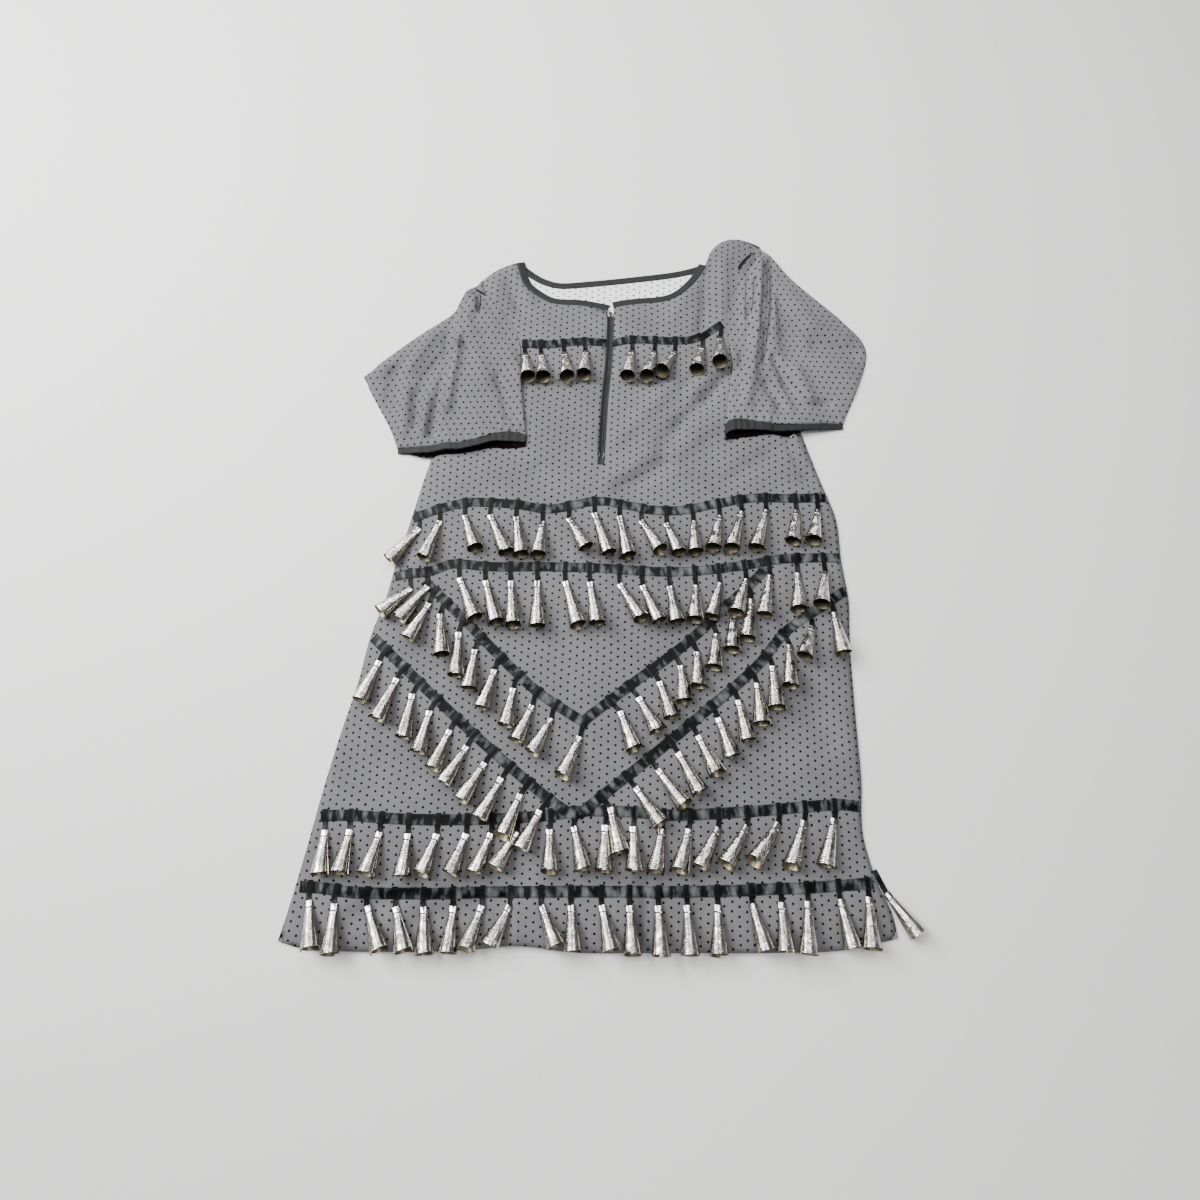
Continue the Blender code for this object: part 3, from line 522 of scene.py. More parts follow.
FOLD_DEPTH = 2.1
LINE_REACH = 3.0
SLOW_SIZE = (85.0, 60.0)
SLOW_HEIGHT = 1.5
SLOW_RAISED = 0.3
QUICK_SIZE = (26.0, 24.0)
QUICK_HEIGHT = 0.5
CEILING = 0.2
DOWN = Vector((0.0, 0.0, -1.0))


def top_at(tree, x, y):
    """The height where a ray dropped at a place lands, or None."""
    hit = tree.ray_cast(Vector((x, y, CEILING)), DOWN)[0]
    return None if hit is None else hit.z


def bottom_at(tree, x, y):
    """The same for a ray sent up from below."""
    hit = tree.ray_cast(Vector((x, y, -CEILING)), -DOWN)[0]
    return None if hit is None else hit.z


def soft_lines(table, x, y):
    """The ridges, or below zero the troughs, of a table at a place, in millimetres."""
    total = 0.0
    for x0, y0, x1, y1, width, height in table:
        length = math.hypot(x1 - x0, y1 - y0)
        t = ((x - x0) * (x1 - x0) + (y - y0) * (y1 - y0)) / length ** 2
        nearest = min(max(t, 0.0), 1.0)
        away = math.hypot(x - blend(x0, x1, nearest), y - blend(y0, y1, nearest))
        if away < LINE_REACH * width:
            total += height * math.exp(-(away / width) ** 2)
    return total


def unevenness(x, y):
    """The slow and the quick waves of cloth that was smoothed out by hand, in millimetres."""
    slow = noise.noise(Vector((x / SLOW_SIZE[0], y / SLOW_SIZE[1], 3.1)))
    quick = noise.noise(Vector((x / QUICK_SIZE[0], y / QUICK_SIZE[1], 8.7)))
    return SLOW_HEIGHT * (slow + SLOW_RAISED) + QUICK_HEIGHT * quick


#                x0    y0    x1    y1  width height, mm
FRONT_LINES = ((-23, -485,    5,  110,  2.5,  0.5),
               (-240, 106,  -60,  104,  3.0,  0.5),
               (20,   104,  265,  106,  3.0,  0.5),
               (176,  264,  140,  216,  6.5, -4.0),
               (140,  216,  100,  176,  9.0, -3.2),
               (158,  276,  118,  224,  9.0,  2.6),
               (112,  256,    8,  148, 12.0,  1.8),
               (100,  176,   80,  150, 12.0, -1.8),
               (76,   116,   18,   74, 12.0, -2.6),
               (60,   130,    4,   92, 11.0,  1.6),
               (196,  214,   92,  132, 12.0,  1.6),
               (249,  160,  260,  116,  4.0, -3.0),
               (258,  158,  270,  112,  5.0,  2.2),
               (267,  165,  271,   95,  7.0, -2.4),
               (232,  140,  170,   96, 11.0, -1.8),
               (-168, 170, -110,  120, 12.0,  1.6),
               (-150, 150,  -95,  108,  9.0, -1.8),
               (-146, 412, -128,  366,  8.0, -2.4),
               (-128, 440, -112,  380,  9.0,  1.4),
               (-166, 398, -158,  360,  8.0,  1.2),
               (118,  400,   96,  352, 10.0,  1.3),
               (151,  448,  139,  330,  9.0, -2.4),
               (174,  446,  166,  330,  9.0,  1.8),
               (-250, -20, -205, -130, 13.0,  1.6),
               (-236, -40, -214, -96,   9.0, -1.4),
               (270,  -60,  235, -170, 14.0,  1.7),
               (250,  -30,  226, -120,  9.0, -1.3),
               (245, -193,  271, -255, 14.0, -2.2),
               (-271, -271, -231, -300, 13.0, -2.0),
               (-292, -455, -223, -421, 11.0, -2.4),
               (-220, -455, -133, -435, 10.0, -2.0),
               (-250, -425, -190, -410, 11.0,  1.8),
               (-120, -488, -126, -440,  9.0, -2.4),
               (-104, -488, -110, -440,  8.0,  1.6),
               (40,  -490,   46, -430, 14.0,  1.8),
               (110, -490,  104, -445, 10.0, -1.6),
               (180, -488,  170, -440,  9.0, -1.4),
               (226, -488,  216, -430, 12.0,  1.8),
               (274, -470,  262, -420, 10.0, -1.8))
FRONT_TOP = 2.7 * MM
FRONT_UNDER = 1.5 * MM
EDGE_ROLL = 3.0
EDGE_ROLL_WIDTH = 11.0
EDGE_STILL = 8.0
MOST_SUNK = 0.8
SKINS_APART = 0.7 * MM


def ruffle(piece):
    """Raise and lower both skins of the front together, and round off its edges."""
    sides = [set() for _ in piece.data.vertices]
    for face in piece.data.polygons:
        for corner in face.vertices:
            sides[corner].add(face.material_index)
    outline = [vertex for vertex, side in zip(piece.data.vertices, sides) if len(side) > 1]
    nearest = KDTree(len(outline))
    for index, vertex in enumerate(outline):
        nearest.insert((vertex.co.x, vertex.co.y, 0.0), index)
    nearest.balance()
    places = []
    for vertex in piece.data.vertices:
        x, y, z = vertex.co
        from_edge = nearest.find((x, y, 0.0))[2] / MM
        roll = EDGE_ROLL * (1.0 - math.exp(-from_edge / EDGE_ROLL_WIDTH))
        waves = FOLD_DEPTH * soft_lines(FRONT_LINES, x / MM, y / MM) + unevenness(x / MM, y / MM)
        change = (roll + waves * smooth_step(from_edge / EDGE_STILL)) * MM
        room = z - (FRONT_TOP if vertex.normal.z > 0.0 else FRONT_UNDER)
        places.append((x, y, z + max(change, -MOST_SUNK * max(room, 0.0))))
    move_to(piece, places)


def push_off(piece, still, moving, sign):
    """Push one skin down (-1) or up (1) from the other wherever they would cross."""
    places = [vertex.co.copy() for vertex in piece.data.vertices]
    faces = [tuple(face.vertices) for face in piece.data.polygons if face.material_index == still]
    tree = BVHTree.FromPolygons(places, faces)
    push = [0.0] * len(places)
    for face in piece.data.polygons:
        if face.material_index != moving:
            continue
        corners = list(face.vertices)
        spots = [([corner], places[corner]) for corner in corners]
        spots += [([a, b], places[a].lerp(places[b], 0.5))
                  for a, b in zip(corners, corners[1:] + corners[:1])]
        spots.append((corners, face.center.copy()))
        for pushed, spot in spots:
            skin = top_at(tree, spot.x, spot.y)
            if skin is not None:
                short = SKINS_APART - sign * (spot.z - skin)
                for corner in pushed:
                    push[corner] = max(push[corner], short)
    for corner in {corner for face in faces for corner in face}:
        push[corner] = 0.0
    for place, short in zip(places, push):
        if short > 0.0:
            place.z = max(place.z + sign * short, FRONT_UNDER)
    move_to(piece, places)


front = cloth_shell("front", "front_panel", facing_down, (body_cotton, wrong_side))
ruffle(front)
push_off(front, 0, 1, -1.0)
push_off(front, 1, 0, 1.0)
print("faces of the front:", len(front.data.polygons))


# %% [markdown]
# The back is one flat panel under everything.  Its wrong side shows white inside the neck
# and its right side is what the table touches.

# %% Back panel
back_solid = joined("back")
for face in back_solid.faces:
    face.material_index = 1 if face.normal.z > FACES_UP else 0
back = piece_from(back_solid, "back_panel", (body_cotton, wrong_side))
print("faces of the back:", len(back.data.polygons))


# %% [markdown]
# Whatever lies on the cloth has to know how high the cloth is.  A tree of the upper
# faces answers that for any place: a ray is dropped from above, and where it lands is
# the height.  Each ribbon joins the tree after it is laid, so the next one passes over.

# %% Heights of what is laid so far
laid_trees = {}


def remember(piece):
    """From now on, the piece carries what is laid on it."""
    tree = BVHTree.FromObject(piece, bpy.context.evaluated_depsgraph_get())
    laid_trees[piece.name] = tree


def height_at(x, y):
    """How high the uppermost piece is at a place."""
    return max(top_at(tree, x, y) or 0.0 for tree in laid_trees.values())


def front_height(x, y):
    """How high the front is at a place, whatever lies on it."""
    return top_at(laid_trees[front.name], x, y) or 0.0


remember(back)
remember(front)


# %% [markdown]
# ## Sleeves
# Each sleeve is a flat tube, sewn to the body along a short seam and free below it.  The
# fullness of the sleeve's head is laid in pleats: narrow grooves that start at the seam
# and open out.  A groove presses the upper layer only, because each point is moved by
# its share of the tube's thickness, and at the seam both layers come down to the body.
# The mouth is shaped too: the gathers ripple it, and a table draws its edge up or down.

# %% Sleeves
#                   x0    y0    x1    y1  width height, mm
LEFT_PLEATS = ((-195,  405, -180,  389,  2.6, -3.5),
               (-186,  392, -186,  360,  2.6, -3.0),
               (-204,  400, -202,  345,  8.0,  2.2),
               (-194,  396, -192,  360,  5.0,  1.6),
               (-172,  392, -150,  366,  6.0, -1.8),
               (-213,  362, -213,  302,  5.5,  3.2),
               (-213,  302, -222,  200,  7.0,  2.8),
               (-226,  366, -228,  302,  5.5, -4.6),
               (-229,  300, -232,  246,  5.0, -4.0),
               (-233,  240, -243,  166,  6.0, -4.0),
               (-238,  282, -258,  250,  7.0, -3.0),
               (-258,  250, -267,  222,  6.0, -2.6),
               (-267,  222, -266,  176,  6.0, -2.6),
               (-252,  320, -281,  266, 10.0,  2.8),
               (-252,  216, -254,  166,  5.5,  2.0),
               (-283,  236, -281,  166,  7.0,  2.0),
               (-300,  262, -304,  206,  9.0, -3.4),
               (-320,  262, -280,  300, 10.0,  1.6),
               (-200,  330, -170,  240, 12.0,  1.6),
               (-153,  250, -134,  186,  7.0, -2.2),
               (-140,  300, -124,  240, 10.0,  1.2))
RIGHT_PLEATS = ((224,  467,  212,  448,  3.0, -6.0),
                (212,  448,  200,  434,  3.6, -4.4),
                (200,  434,  190,  410,  4.0, -2.6),
                (228,  452,  223,  390,  5.5,  3.0),
                (223,  390,  216,  327,  5.5,  2.8),
                (216,  327,  205,  262,  6.5,  2.6),
                (205,  255,  193,  206,  8.0,  2.2),
                (209,  424,  204,  347,  3.4, -3.0),
                (217,  413,  211,  357,  3.0, -2.6),
                (245,  450,  240,  395,  3.4, -4.4),
                (240,  395,  234,  345,  4.0, -5.0),
                (234,  345,  222,  272,  3.2, -3.0),
                (204,  330,  190,  270,  6.0, -2.2),
                (238,  280,  254,  238,  6.5, -3.0),
                (254,  238,  264,  208,  6.5, -2.8),
                (268,  262,  284,  212,  9.0,  2.4),
                (224,  236,  240,  204,  8.0, -2.6),
                (300,  306,  354,  290,  8.0, -3.0),
                (268,  204,  310,  209,  6.0, -2.2),
                (290,  336,  345,  318, 10.0,  1.8),
                (262,  400,  300,  340, 14.0,  1.4),
                (184,  380,  190,  300, 10.0, -1.8))
LEFT_LIFTS = ((-119, 258, -112, 186, 10.0, 4.2),
              (-112, 186, -112, 150, 10.0, 2.6))
RIGHT_LIFTS = ((176, 292, 168, 230, 9.0, 2.6),
               (168, 230, 168, 160, 9.0, 1.6))
LEFT_SEAM = ((-192, 412), (-173, 388), (-150, 356), (-127, 312))
RIGHT_SEAM = ((232, 478), (212, 456), (193, 408), (176, 356))
LEFT_CUFF_LINE = ((-290, 142.3), (-230, 149.6), (-166, 156.3), (-111, 161.3))
RIGHT_CUFF_LINE = ((162, 177.3), (182, 175.6), (222, 173.8), (263, 174.3), (297, 176.6),
                   (330, 180.3))
#              x   towards the head, mm
LEFT_MOUTH = ((-290, 0.0), (-258, -5.0), (-244, -7.0), (-226, -6.0), (-203, -9.0),
              (-175, -5.0), (-155, 0.0), (-134, 2.0), (-120, 0.0), (-111, -4.0))
RIGHT_MOUTH = ((161, -6.0), (166, -1.0), (173, 2.0), (184, 4.0), (200, 2.0), (214, 0.0),
               (230, -1.0), (258, -1.0), (276, 0.0), (300, 2.0), (325, 0.0))
MOUTH_FADE = 45.0
#            x, y of the sleeve's end at the shoulder, and how far it is drawn over the front
LEFT_PULL = (-190, 412, 6.0, 6.5)
RIGHT_PULL = (232, 478, 0.0, 0.0)
PULL_REACH = 15.0
SEAM_BLEND = 26.0
GATHER_PITCH = 10.5
GATHER_WANDER = 4.0
GATHER_WANDER_SIZE = (30.0, 40.0)
GATHER_HEIGHT = 0.75
GATHER_REACH = 15.0
OTHER_WAVES = 400.0
LEAST_TUBE = 0.5
MOST_FLATTENED = 0.6
LAYER_UNDER = 0.3
LAYER_THICK = 2.0
SEWN_UNDER = 0.1
SEWN_THICK = 1.1
SEWN_SHARE = 0.1
LOWEST = 0.1 * MM


def graded(table, x):
    """The value of a table of (x, value) at x."""
    for (x0, value0), (x1, value1) in zip(table, table[1:]):
        if x <= x1:
            return blend(value0, value1, min(max((x - x0) / (x1 - x0), 0.0), 1.0))
    return table[-1][1]


def distance_to_line(line, x, y):
    """How far a place is from a chain of points, in millimetres."""
    best = math.inf
    for (x0, y0), (x1, y1) in zip(line, line[1:]):
        t = ((x - x0) * (x1 - x0) + (y - y0) * (y1 - y0)) / ((x1 - x0) ** 2 + (y1 - y0) ** 2)
        t = min(max(t, 0.0), 1.0)
        best = min(best, math.hypot(x - blend(x0, x1, t), y - blend(y0, y1, t)))
    return best


def gathers(x, y):
    """The ripple of an edge that is gathered, from -1 to 1; x and y in millimetres."""
    wander = noise.noise(Vector((x / GATHER_WANDER_SIZE[0], y / GATHER_WANDER_SIZE[1], 1.0)))
    return math.sin(math.tau * x / GATHER_PITCH + GATHER_WANDER * wander)


def pleated(piece, pleats, lifts, seam, cuff_line, mouth, pull):
    """Lay the pleats, open the mouth, and bring the sleeve down to the body at its seam."""
    tree = BVHTree.FromObject(piece, bpy.context.evaluated_depsgraph_get())
    places = []
    for vertex in piece.data.vertices:
        x, y, z = vertex.co / MM
        top, bottom = top_at(tree, *vertex.co.xy), bottom_at(tree, *vertex.co.xy)
        share, thick = 0.0, 0.0
        if top is not None and bottom is not None and top - bottom >= LEAST_TUBE * MM:
            thick = (top - bottom) / MM
            share = (z - bottom / MM) / thick
        from_mouth = distance_to_line(cuff_line, x, y)
        ripple = gathers(x, y) * GATHER_HEIGHT * math.exp(-(from_mouth / GATHER_REACH) ** 2)
        change = FOLD_DEPTH * soft_lines(pleats, x, y) + unevenness(x + OTHER_WAVES, y) + ripple
        z += share * max(change, -MOST_FLATTENED * thick) + soft_lines(lifts, x, y)
        drawn = math.exp(-(math.hypot(x - pull[0], y - pull[1]) / PULL_REACH) ** 2)
        x += pull[2] * drawn
        y += pull[3] * drawn + graded(mouth, x) * (1.0 - smooth_step(from_mouth / MOUTH_FADE))
        body = height_at(x * MM, y * MM) / MM
        z = max(z, body + LAYER_UNDER + share * min(thick, LAYER_THICK))
        sewn = body + SEWN_UNDER + SEWN_THICK * share + SEWN_SHARE * max(z - body, 0.0)
        away = smooth_step(distance_to_line(seam, x, y) / SEAM_BLEND)
        places.append((x * MM, y * MM, max(blend(sewn, z, away) * MM, LOWEST)))
    move_to(piece, places)
    push_off(piece, 0, 1, -1.0)
    return piece


sleeve_left = pleated(
    cloth_shell("sleeve_left", "left_sleeve", inner_skin, (left_cotton, wrong_side), 3),
    LEFT_PLEATS, LEFT_LIFTS, LEFT_SEAM, LEFT_CUFF_LINE, LEFT_MOUTH, LEFT_PULL)
sleeve_right = pleated(
    cloth_shell("sleeve_right", "right_sleeve", inner_skin, (right_cotton, wrong_side), 3),
    RIGHT_PLEATS, RIGHT_LIFTS, RIGHT_SEAM, RIGHT_CUFF_LINE, RIGHT_MOUTH, RIGHT_PULL)
remember(sleeve_left)
remember(sleeve_right)
print("faces of the sleeves:", len(sleeve_left.data.polygons), len(sleeve_right.data.polygons))


# %% [markdown]
# ## Strips
# Ribbons, bindings and zip tapes are all strips.  `even_stations` takes the pairs of
# points that the solid gave and draws a smooth line through each edge.  `loft` then joins
# closed sections along them.  Each kind of strip makes its own sections, with its own
# waves.

# %% Strips along two lines
def spline(a, b, c, d, t):
    """Catmull-Rom between b and c."""
    return 0.5 * (2 * b + (c - a) * t + (2 * a - 5 * b + 4 * c - d) * t ** 2
                  + (3 * b - a - 3 * c + d) * t ** 3)


def even_stations(stations, step):
    """The pairs drawn smooth and spaced about evenly along the strip."""
    knots = [stations[0], *stations, stations[-1]]
    fine = []
    for before, start, end, after in zip(knots, knots[1:], knots[2:], knots[3:]):
        count = max(1, round((middle(end) - middle(start)).length / step))
        for index in range(count):
            t = index / count
            fine.append(tuple(spline(*points, t) for points in zip(before, start, end, after)))
    fine.append(stations[-1])
    return fine


def loft(name, sections, materials):
    """Faces between matching closed sections, and over both ends."""
    count = len(sections[0])
    vertices = [point for section in sections for point in section]
    faces = []
    for index in range(len(sections) - 1):
        here, there = index * count, (index + 1) * count
        faces += [(here + i, here + (i + 1) % count, there + (i + 1) % count, there + i)
                  for i in range(count)]
    faces.append(tuple(range(count))[::-1])
    faces.append(tuple(range(len(vertices) - count, len(vertices))))
    return new_piece(name, vertices, faces, materials)


def even_along(line, count):
    """Places and heights at even shares of a chain of (place, height)."""
    lengths = [0.0]
    for a, b in zip(line, line[1:]):
        lengths.append(lengths[-1] + (b[0] - a[0]).length)
    places = []
    for index in range(count + 1):
        goal = lengths[-1] * index / count
        leg = max(i for i in range(len(line) - 1) if lengths[i] <= goal + 1e-9)
        t = (goal - lengths[leg]) / (lengths[leg + 1] - lengths[leg])
        knots = (line[max(leg - 1, 0)], line[leg], line[leg + 1],
                 line[min(leg + 2, len(line) - 1)])
        spot = spline(*[knot[0] for knot in knots], t)
        places.append((spot, blend(line[leg][1], line[leg + 1][1], t)))
    return places


def add_uv(piece, across_count, step, width):
    """A map in metres: first along the strip, then across it."""
    layer = piece.data.uv_layers.new(name="UVMap")
    for polygon in piece.data.polygons:
        for loop_index in polygon.loop_indices:
            vertex = piece.data.loops[loop_index].vertex_index
            station, place = divmod(vertex, across_count)
            half = across_count // 2
            across = place if place < half else across_count - 1 - place
            layer.data[loop_index].uv = (station * step, across / (half - 1) * width)


# %% [markdown]
# Where the fullness of a sleeve is laid over itself, the pleat has a folded edge.  A groove
# in a smooth surface can't show that, so each such edge is a narrow tongue of the same
# cotton.  It leaves the sleeve flush, rises a few millimetres, and turns under along the
# edge, which is open to one side and keeps its own shadow.  Beside the shoulders the
# pleats stand open, and the hollow there gets no light, so a tongue of its own is laid in
# it, painted nearly black: a painted shade in place of the shadow.

# %% Folded edges of the pleats
#    x    y   height, mm, along the edge; the cloth comes from its left
LEFT_HOLLOW = ((-197, 404, 0.5), (-189, 398, 0.6), (-178, 388, 0.4))
RIGHT_HOLLOW = ((196, 430, 0.3), (204, 444, 0.5), (212, 454, 0.6), (223, 465, 0.5))
LEFT_EDGES = {
    "pleat_left_1": ((-188, 358, 1.0), (-186, 373, 2.5), (-186.5, 385, 3.5), (-191, 396, 2.5)),
    "pleat_left_back_1": ((-219, 356, 2.4), (-220, 302, 2.8), (-223, 252, 2.2),
                          (-227, 184, 1.6), (-230, 162, 1.0))}
RIGHT_EDGES = {
    "pleat_right_1": ((222, 274, 1.2), (234, 350, 3.6), (238, 390, 3.8), (240.5, 420, 3.2),
                      (244, 452, 2.6)),
    "pleat_right_2": ((210, 356, 1.2), (214, 396, 2.4), (217, 420, 1.4)),
    "pleat_right_back_1": ((222, 464, 6.0), (211, 448, 6.5), (200, 434, 4.0), (190, 408, 1.5))}
EDGE_STEP = 2.5
EDGE_WIDTH = 9.0
LEFT_HOLLOW_WIDTH = 3.0
RIGHT_HOLLOW_WIDTH = 5.0
EDGE_TAPER = 0.2
EDGE_TIP = 0.02
EDGE_LIFT = 0.12
ROOT_THICK = 0.3
EDGE_THICK = 0.9
#              across, share of the way from the root's height to the edge's
EDGE_SHARES = ((1.0, 0.0), (0.8, 0.14), (0.6, 0.38), (0.4, 0.64), (0.22, 0.84), (0.08, 0.97),
               (0.0, 0.94))

# A painted shade: a tongue of nearly black colour, quite without shine, that stands for the
# shadow in the hollow of an open pleat.
pleat_hollow_shade = plain_material("painted shade in the hollow of a pleat", "#242120", 0.9, specular=0.03)[0]


def folded_edge(name, knots, material, width=EDGE_WIDTH):
    """A tongue of cloth from the left of a line of (x, y, height), turned under along it."""
    line = [(Vector((x, y)) * MM, height) for x, y, height in knots]
    length = sum((b[0] - a[0]).length for a, b in zip(line, line[1:])) / MM
    count = max(6, round(length / EDGE_STEP))
    places = even_along(line, count)
    sections = []
    for index, (spot, height) in enumerate(places):
        before, after = places[max(index - 1, 0)][0], places[min(index + 1, count)][0]
        along = (after - before).normalized()
        left = Vector((-along.y, along.x))
        t = index / count
        taper = max(EDGE_TIP, smooth_step(min(t, 1.0 - t) / EDGE_TAPER))
        root = height_at(*(spot + left * width * taper * MM))
        edge = height_at(*spot) + height * taper * MM
        top, under = [], []
        for across, share in EDGE_SHARES:
            x, y = spot + left * width * taper * across * MM
            z = max(blend(root, edge, share), height_at(x, y)) + EDGE_LIFT * MM
            top.append((x, y, z))
            under.append((x, y, z - blend(ROOT_THICK, EDGE_THICK, share) * MM))
        sections.append(top + under[::-1])
    return hand_over(loft(name, sections, (material,)), "cotton")


# The hollows are tongues of painted shade; the folded edges are each sleeve's own cotton.
edges_left = [folded_edge("hollow_left", LEFT_HOLLOW, pleat_hollow_shade, LEFT_HOLLOW_WIDTH)]
edges_right = [folded_edge("hollow_right", RIGHT_HOLLOW, pleat_hollow_shade, RIGHT_HOLLOW_WIDTH)]
edges_left += [folded_edge(name, knots, left_cotton) for name, knots in LEFT_EDGES.items()]
edges_right += [folded_edge(name, knots, right_cotton) for name, knots in RIGHT_EDGES.items()]
print("folded edges and hollows:", len(edges_left), len(edges_right))


# %% [markdown]
# The neck is finished with bias binding: a strip cut across the weave and folded over the
# raw edge, so it is thickest at the fold and puckers a little.  On the front it starts on
# the cloth and rolls down into the opening; on the back it lies flat.

# %% Bias binding round the neck
BINDING_STEP = 3.0 * MM
BINDING_POINTS = 9
BINDING_OVERLAP = 1.0 * MM
BINDING_LIFT = 0.2 * MM
BINDING_LEAST = 0.1 * MM
BINDING_CROWN = 0.75 * MM
BINDING_SQUARE = 8
BINDING_ON_CLOTH = 0.3
BINDING_DOWN = 1.4
BINDING_HELD = 0.1
BINDING_MOTTLE = 9 * MM
PUCKER_SIZE = 5.5 * MM
PUCKER_HEIGHT = 0.5 * MM

# Bias-cut cotton is matt, its threads run at 45 degrees, and its dye is a little uneven.
binding_cotton, tree, shader = new_material("bias binding, charcoal cotton")
place = add(tree, "ShaderNodeTexCoord").outputs["Object"]
tint = add(tree, "ShaderNodeTexNoise", {
    "Vector": place, "Scale": 1.0 / BINDING_MOTTLE, "Detail": 2.0})
tint = add(tree, "ShaderNodeMapRange", {0: tint, 1: 0.35, 2: 0.65, 3: 0.0, 4: 1.0})
dye = add(tree, "ShaderNodeMix", {
    0: tint, 6: linear("#171b1b"), 7: linear("#0f1212")}, data_type="RGBA").outputs[2]
bump = add(tree, "ShaderNodeBump", {
    "Height": weave_height(tree, place, 45.0), "Distance": 0.15 * MM, "Strength": 0.4})
feed(tree, shader, {"Base Color": dye, "Roughness": 0.8, "Normal": bump})


def neck_binding(node, thick, base):
    """The solid's strip as a binding this thick at its fold, above this base."""
    sections = []
    for index, (a, b) in enumerate(even_stations(strip_stations(node), BINDING_STEP)):
        across = (b - a).normalized()
        start = a - BINDING_OVERLAP * across
        on_cloth = height_at(*start.xy)
        top, bottom = [], []
        for step in range(BINDING_POINTS):
            t = step / (BINDING_POINTS - 1)
            spot = start.lerp(b, t)
            pucker = noise.noise(Vector((index * BINDING_STEP / PUCKER_SIZE, 2.0 * t, thick / MM)))
            crown = blend(max(on_cloth, base + thick) + BINDING_CROWN, base + thick,
                          smooth_step(BINDING_DOWN * t - BINDING_HELD))
            rounded = math.sqrt(max(0.0, 1.0 - abs(2.0 * t - 1.0) ** BINDING_SQUARE))
            low = (max(height_at(*spot.xy), base) if t < BINDING_ON_CLOTH else base) + BINDING_LIFT
            z = low + max(BINDING_LEAST, crown - low) * rounded + PUCKER_HEIGHT * max(0.0, pucker)
            top.append((spot.x, spot.y, z))
            bottom.append((spot.x, spot.y, base))
        sections.append(top + bottom[::-1])
    piece = loft(node + "_binding", sections, (binding_cotton,))
    return hand_over(piece, "binding", node)


neck_front = [neck_binding("neck_front_" + side, 1.8 * MM, 1.8 * MM)
              for side in ("left", "right")]
neck_back = neck_binding("neck_back", 1.5 * MM, 0.0)
print("faces of the neck's binding:", sum(len(piece.data.polygons) for piece in neck_front),
      len(neck_back.data.polygons))


# %% [markdown]
# A short zip fills the slit down the centre front.  Its tapes are woven tighter than the
# cotton.  They are sewn over the slit's edges, so they show, and they run on a little
# below the slit.

# %% Zip tapes
ZIP_STEP = 5.0 * MM
TAPE_LAP = 1.6 * MM
TAPE_LIFT = 0.45 * MM
TAPE_CROWN = 0.3 * MM
TAPE_THICK = 0.9 * MM
ZIP_RUN_ON = 30.0 * MM

# Woven polyester: near black, with a fine rib that breaks up its faint shine.
tape_weave, tree, shader = plain_material("zip tape, woven polyester", "#14181a", 0.7)
place = add(tree, "ShaderNodeTexCoord").outputs["Object"]
bump = add(tree, "ShaderNodeBump", {
    "Height": weave_height(tree, place, 0.0), "Distance": 0.2 * MM, "Strength": 0.6})
feed(tree, shader, {"Normal": bump})


def run_on(stations, distance):
    """The lower end carried on straight by a distance."""
    (a0, b0), (a1, b1) = stations[:2]
    back = (middle((a0, b0)) - middle((a1, b1))).normalized() * distance
    return [(a0 + back, b0 + back), *stations]


def zip_tape(node, outer):
    """A tape whose outer edge, 0 or 1 of the strip's two, laps over the cloth."""
    sections = []
    for pair in even_stations(run_on(strip_stations(node), ZIP_RUN_ON), ZIP_STEP):
        a, b = (point.copy() for point in pair)
        away = (pair[outer] - pair[1 - outer]).normalized() * TAPE_LAP
        if outer:
            b += away
        else:
            a += away
        a.z = max(a.z, height_at(*a.xy) + TAPE_LIFT)
        b.z = max(b.z, height_at(*b.xy) + TAPE_LIFT)
        crown = a.lerp(b, 0.5) - TAPE_CROWN * DOWN
        sections.append([a, crown, b, *[point + TAPE_THICK * DOWN for point in (b, crown, a)]])
    piece = loft(node + "_woven", sections, (tape_weave,))
    return hand_over(piece, "zip", node)


zip_left_pairs = strip_stations("zip_tape_left")
left_outer = 0 if zip_left_pairs[0][0].x < zip_left_pairs[0][1].x else 1
zip_tapes = [zip_tape("zip_tape_left", left_outer), zip_tape("zip_tape_right", 1 - left_outer)]
print("faces of the tapes:", [len(piece.data.polygons) for piece in zip_tapes])


# %% [markdown]
# A row of equal parts along a line is work for Geometry Nodes.  One tree serves for them
# all: it takes a line and sets a small block on it at each step, turned to the line's
# direction.  The coil's links and all the stitches come from it, with different sizes.

# %% Blocks along a line with Geometry Nodes
def group_input(group, name, kind, value):
    """A named input of a tree, with the value it has where none is given."""
    socket = group.interface.new_socket(name=name, in_out="INPUT", socket_type=kind)
    socket.default_value = value
    return socket


def new_group(name, sizes):
    """A tree with a geometry input, these named sizes and a geometry output."""
    group = bpy.data.node_groups.new(name, "GeometryNodeTree")
    group.interface.new_socket(name="Geometry", in_out="INPUT", socket_type="NodeSocketGeometry")
    sockets = {size: group_input(group, size, "NodeSocketFloat", value).identifier
               for size, value in sizes.items()}
    group.interface.new_socket(name="Geometry", in_out="OUTPUT", socket_type="NodeSocketGeometry")
    return group, group.nodes.new("NodeGroupInput"), sockets


def finish_group(group, geometry, material):
    """Make what was set on points real, smooth and painted, and send it out."""
    real = add(group, "GeometryNodeRealizeInstances", {0: geometry})
    smooth = add(group, "GeometryNodeSetShadeSmooth", {"Geometry": real})
    painted = add(group, "GeometryNodeSetMaterial", {"Geometry": smooth, "Material": material})
    add(group, "NodeGroupOutput", {"Geometry": painted})


def kept_level(group, aim, axis):
    """A rotation that turns this axis to an aim and keeps Z as upright as it can."""
    turned = add(group, "FunctionNodeAlignRotationToVector", {"Vector": aim}, axis=axis)
    return add(group, "FunctionNodeAlignRotationToVector", {
        "Rotation": turned, "Vector": (0.0, 0.0, 1.0)}, axis="Z", pivot_axis=axis)


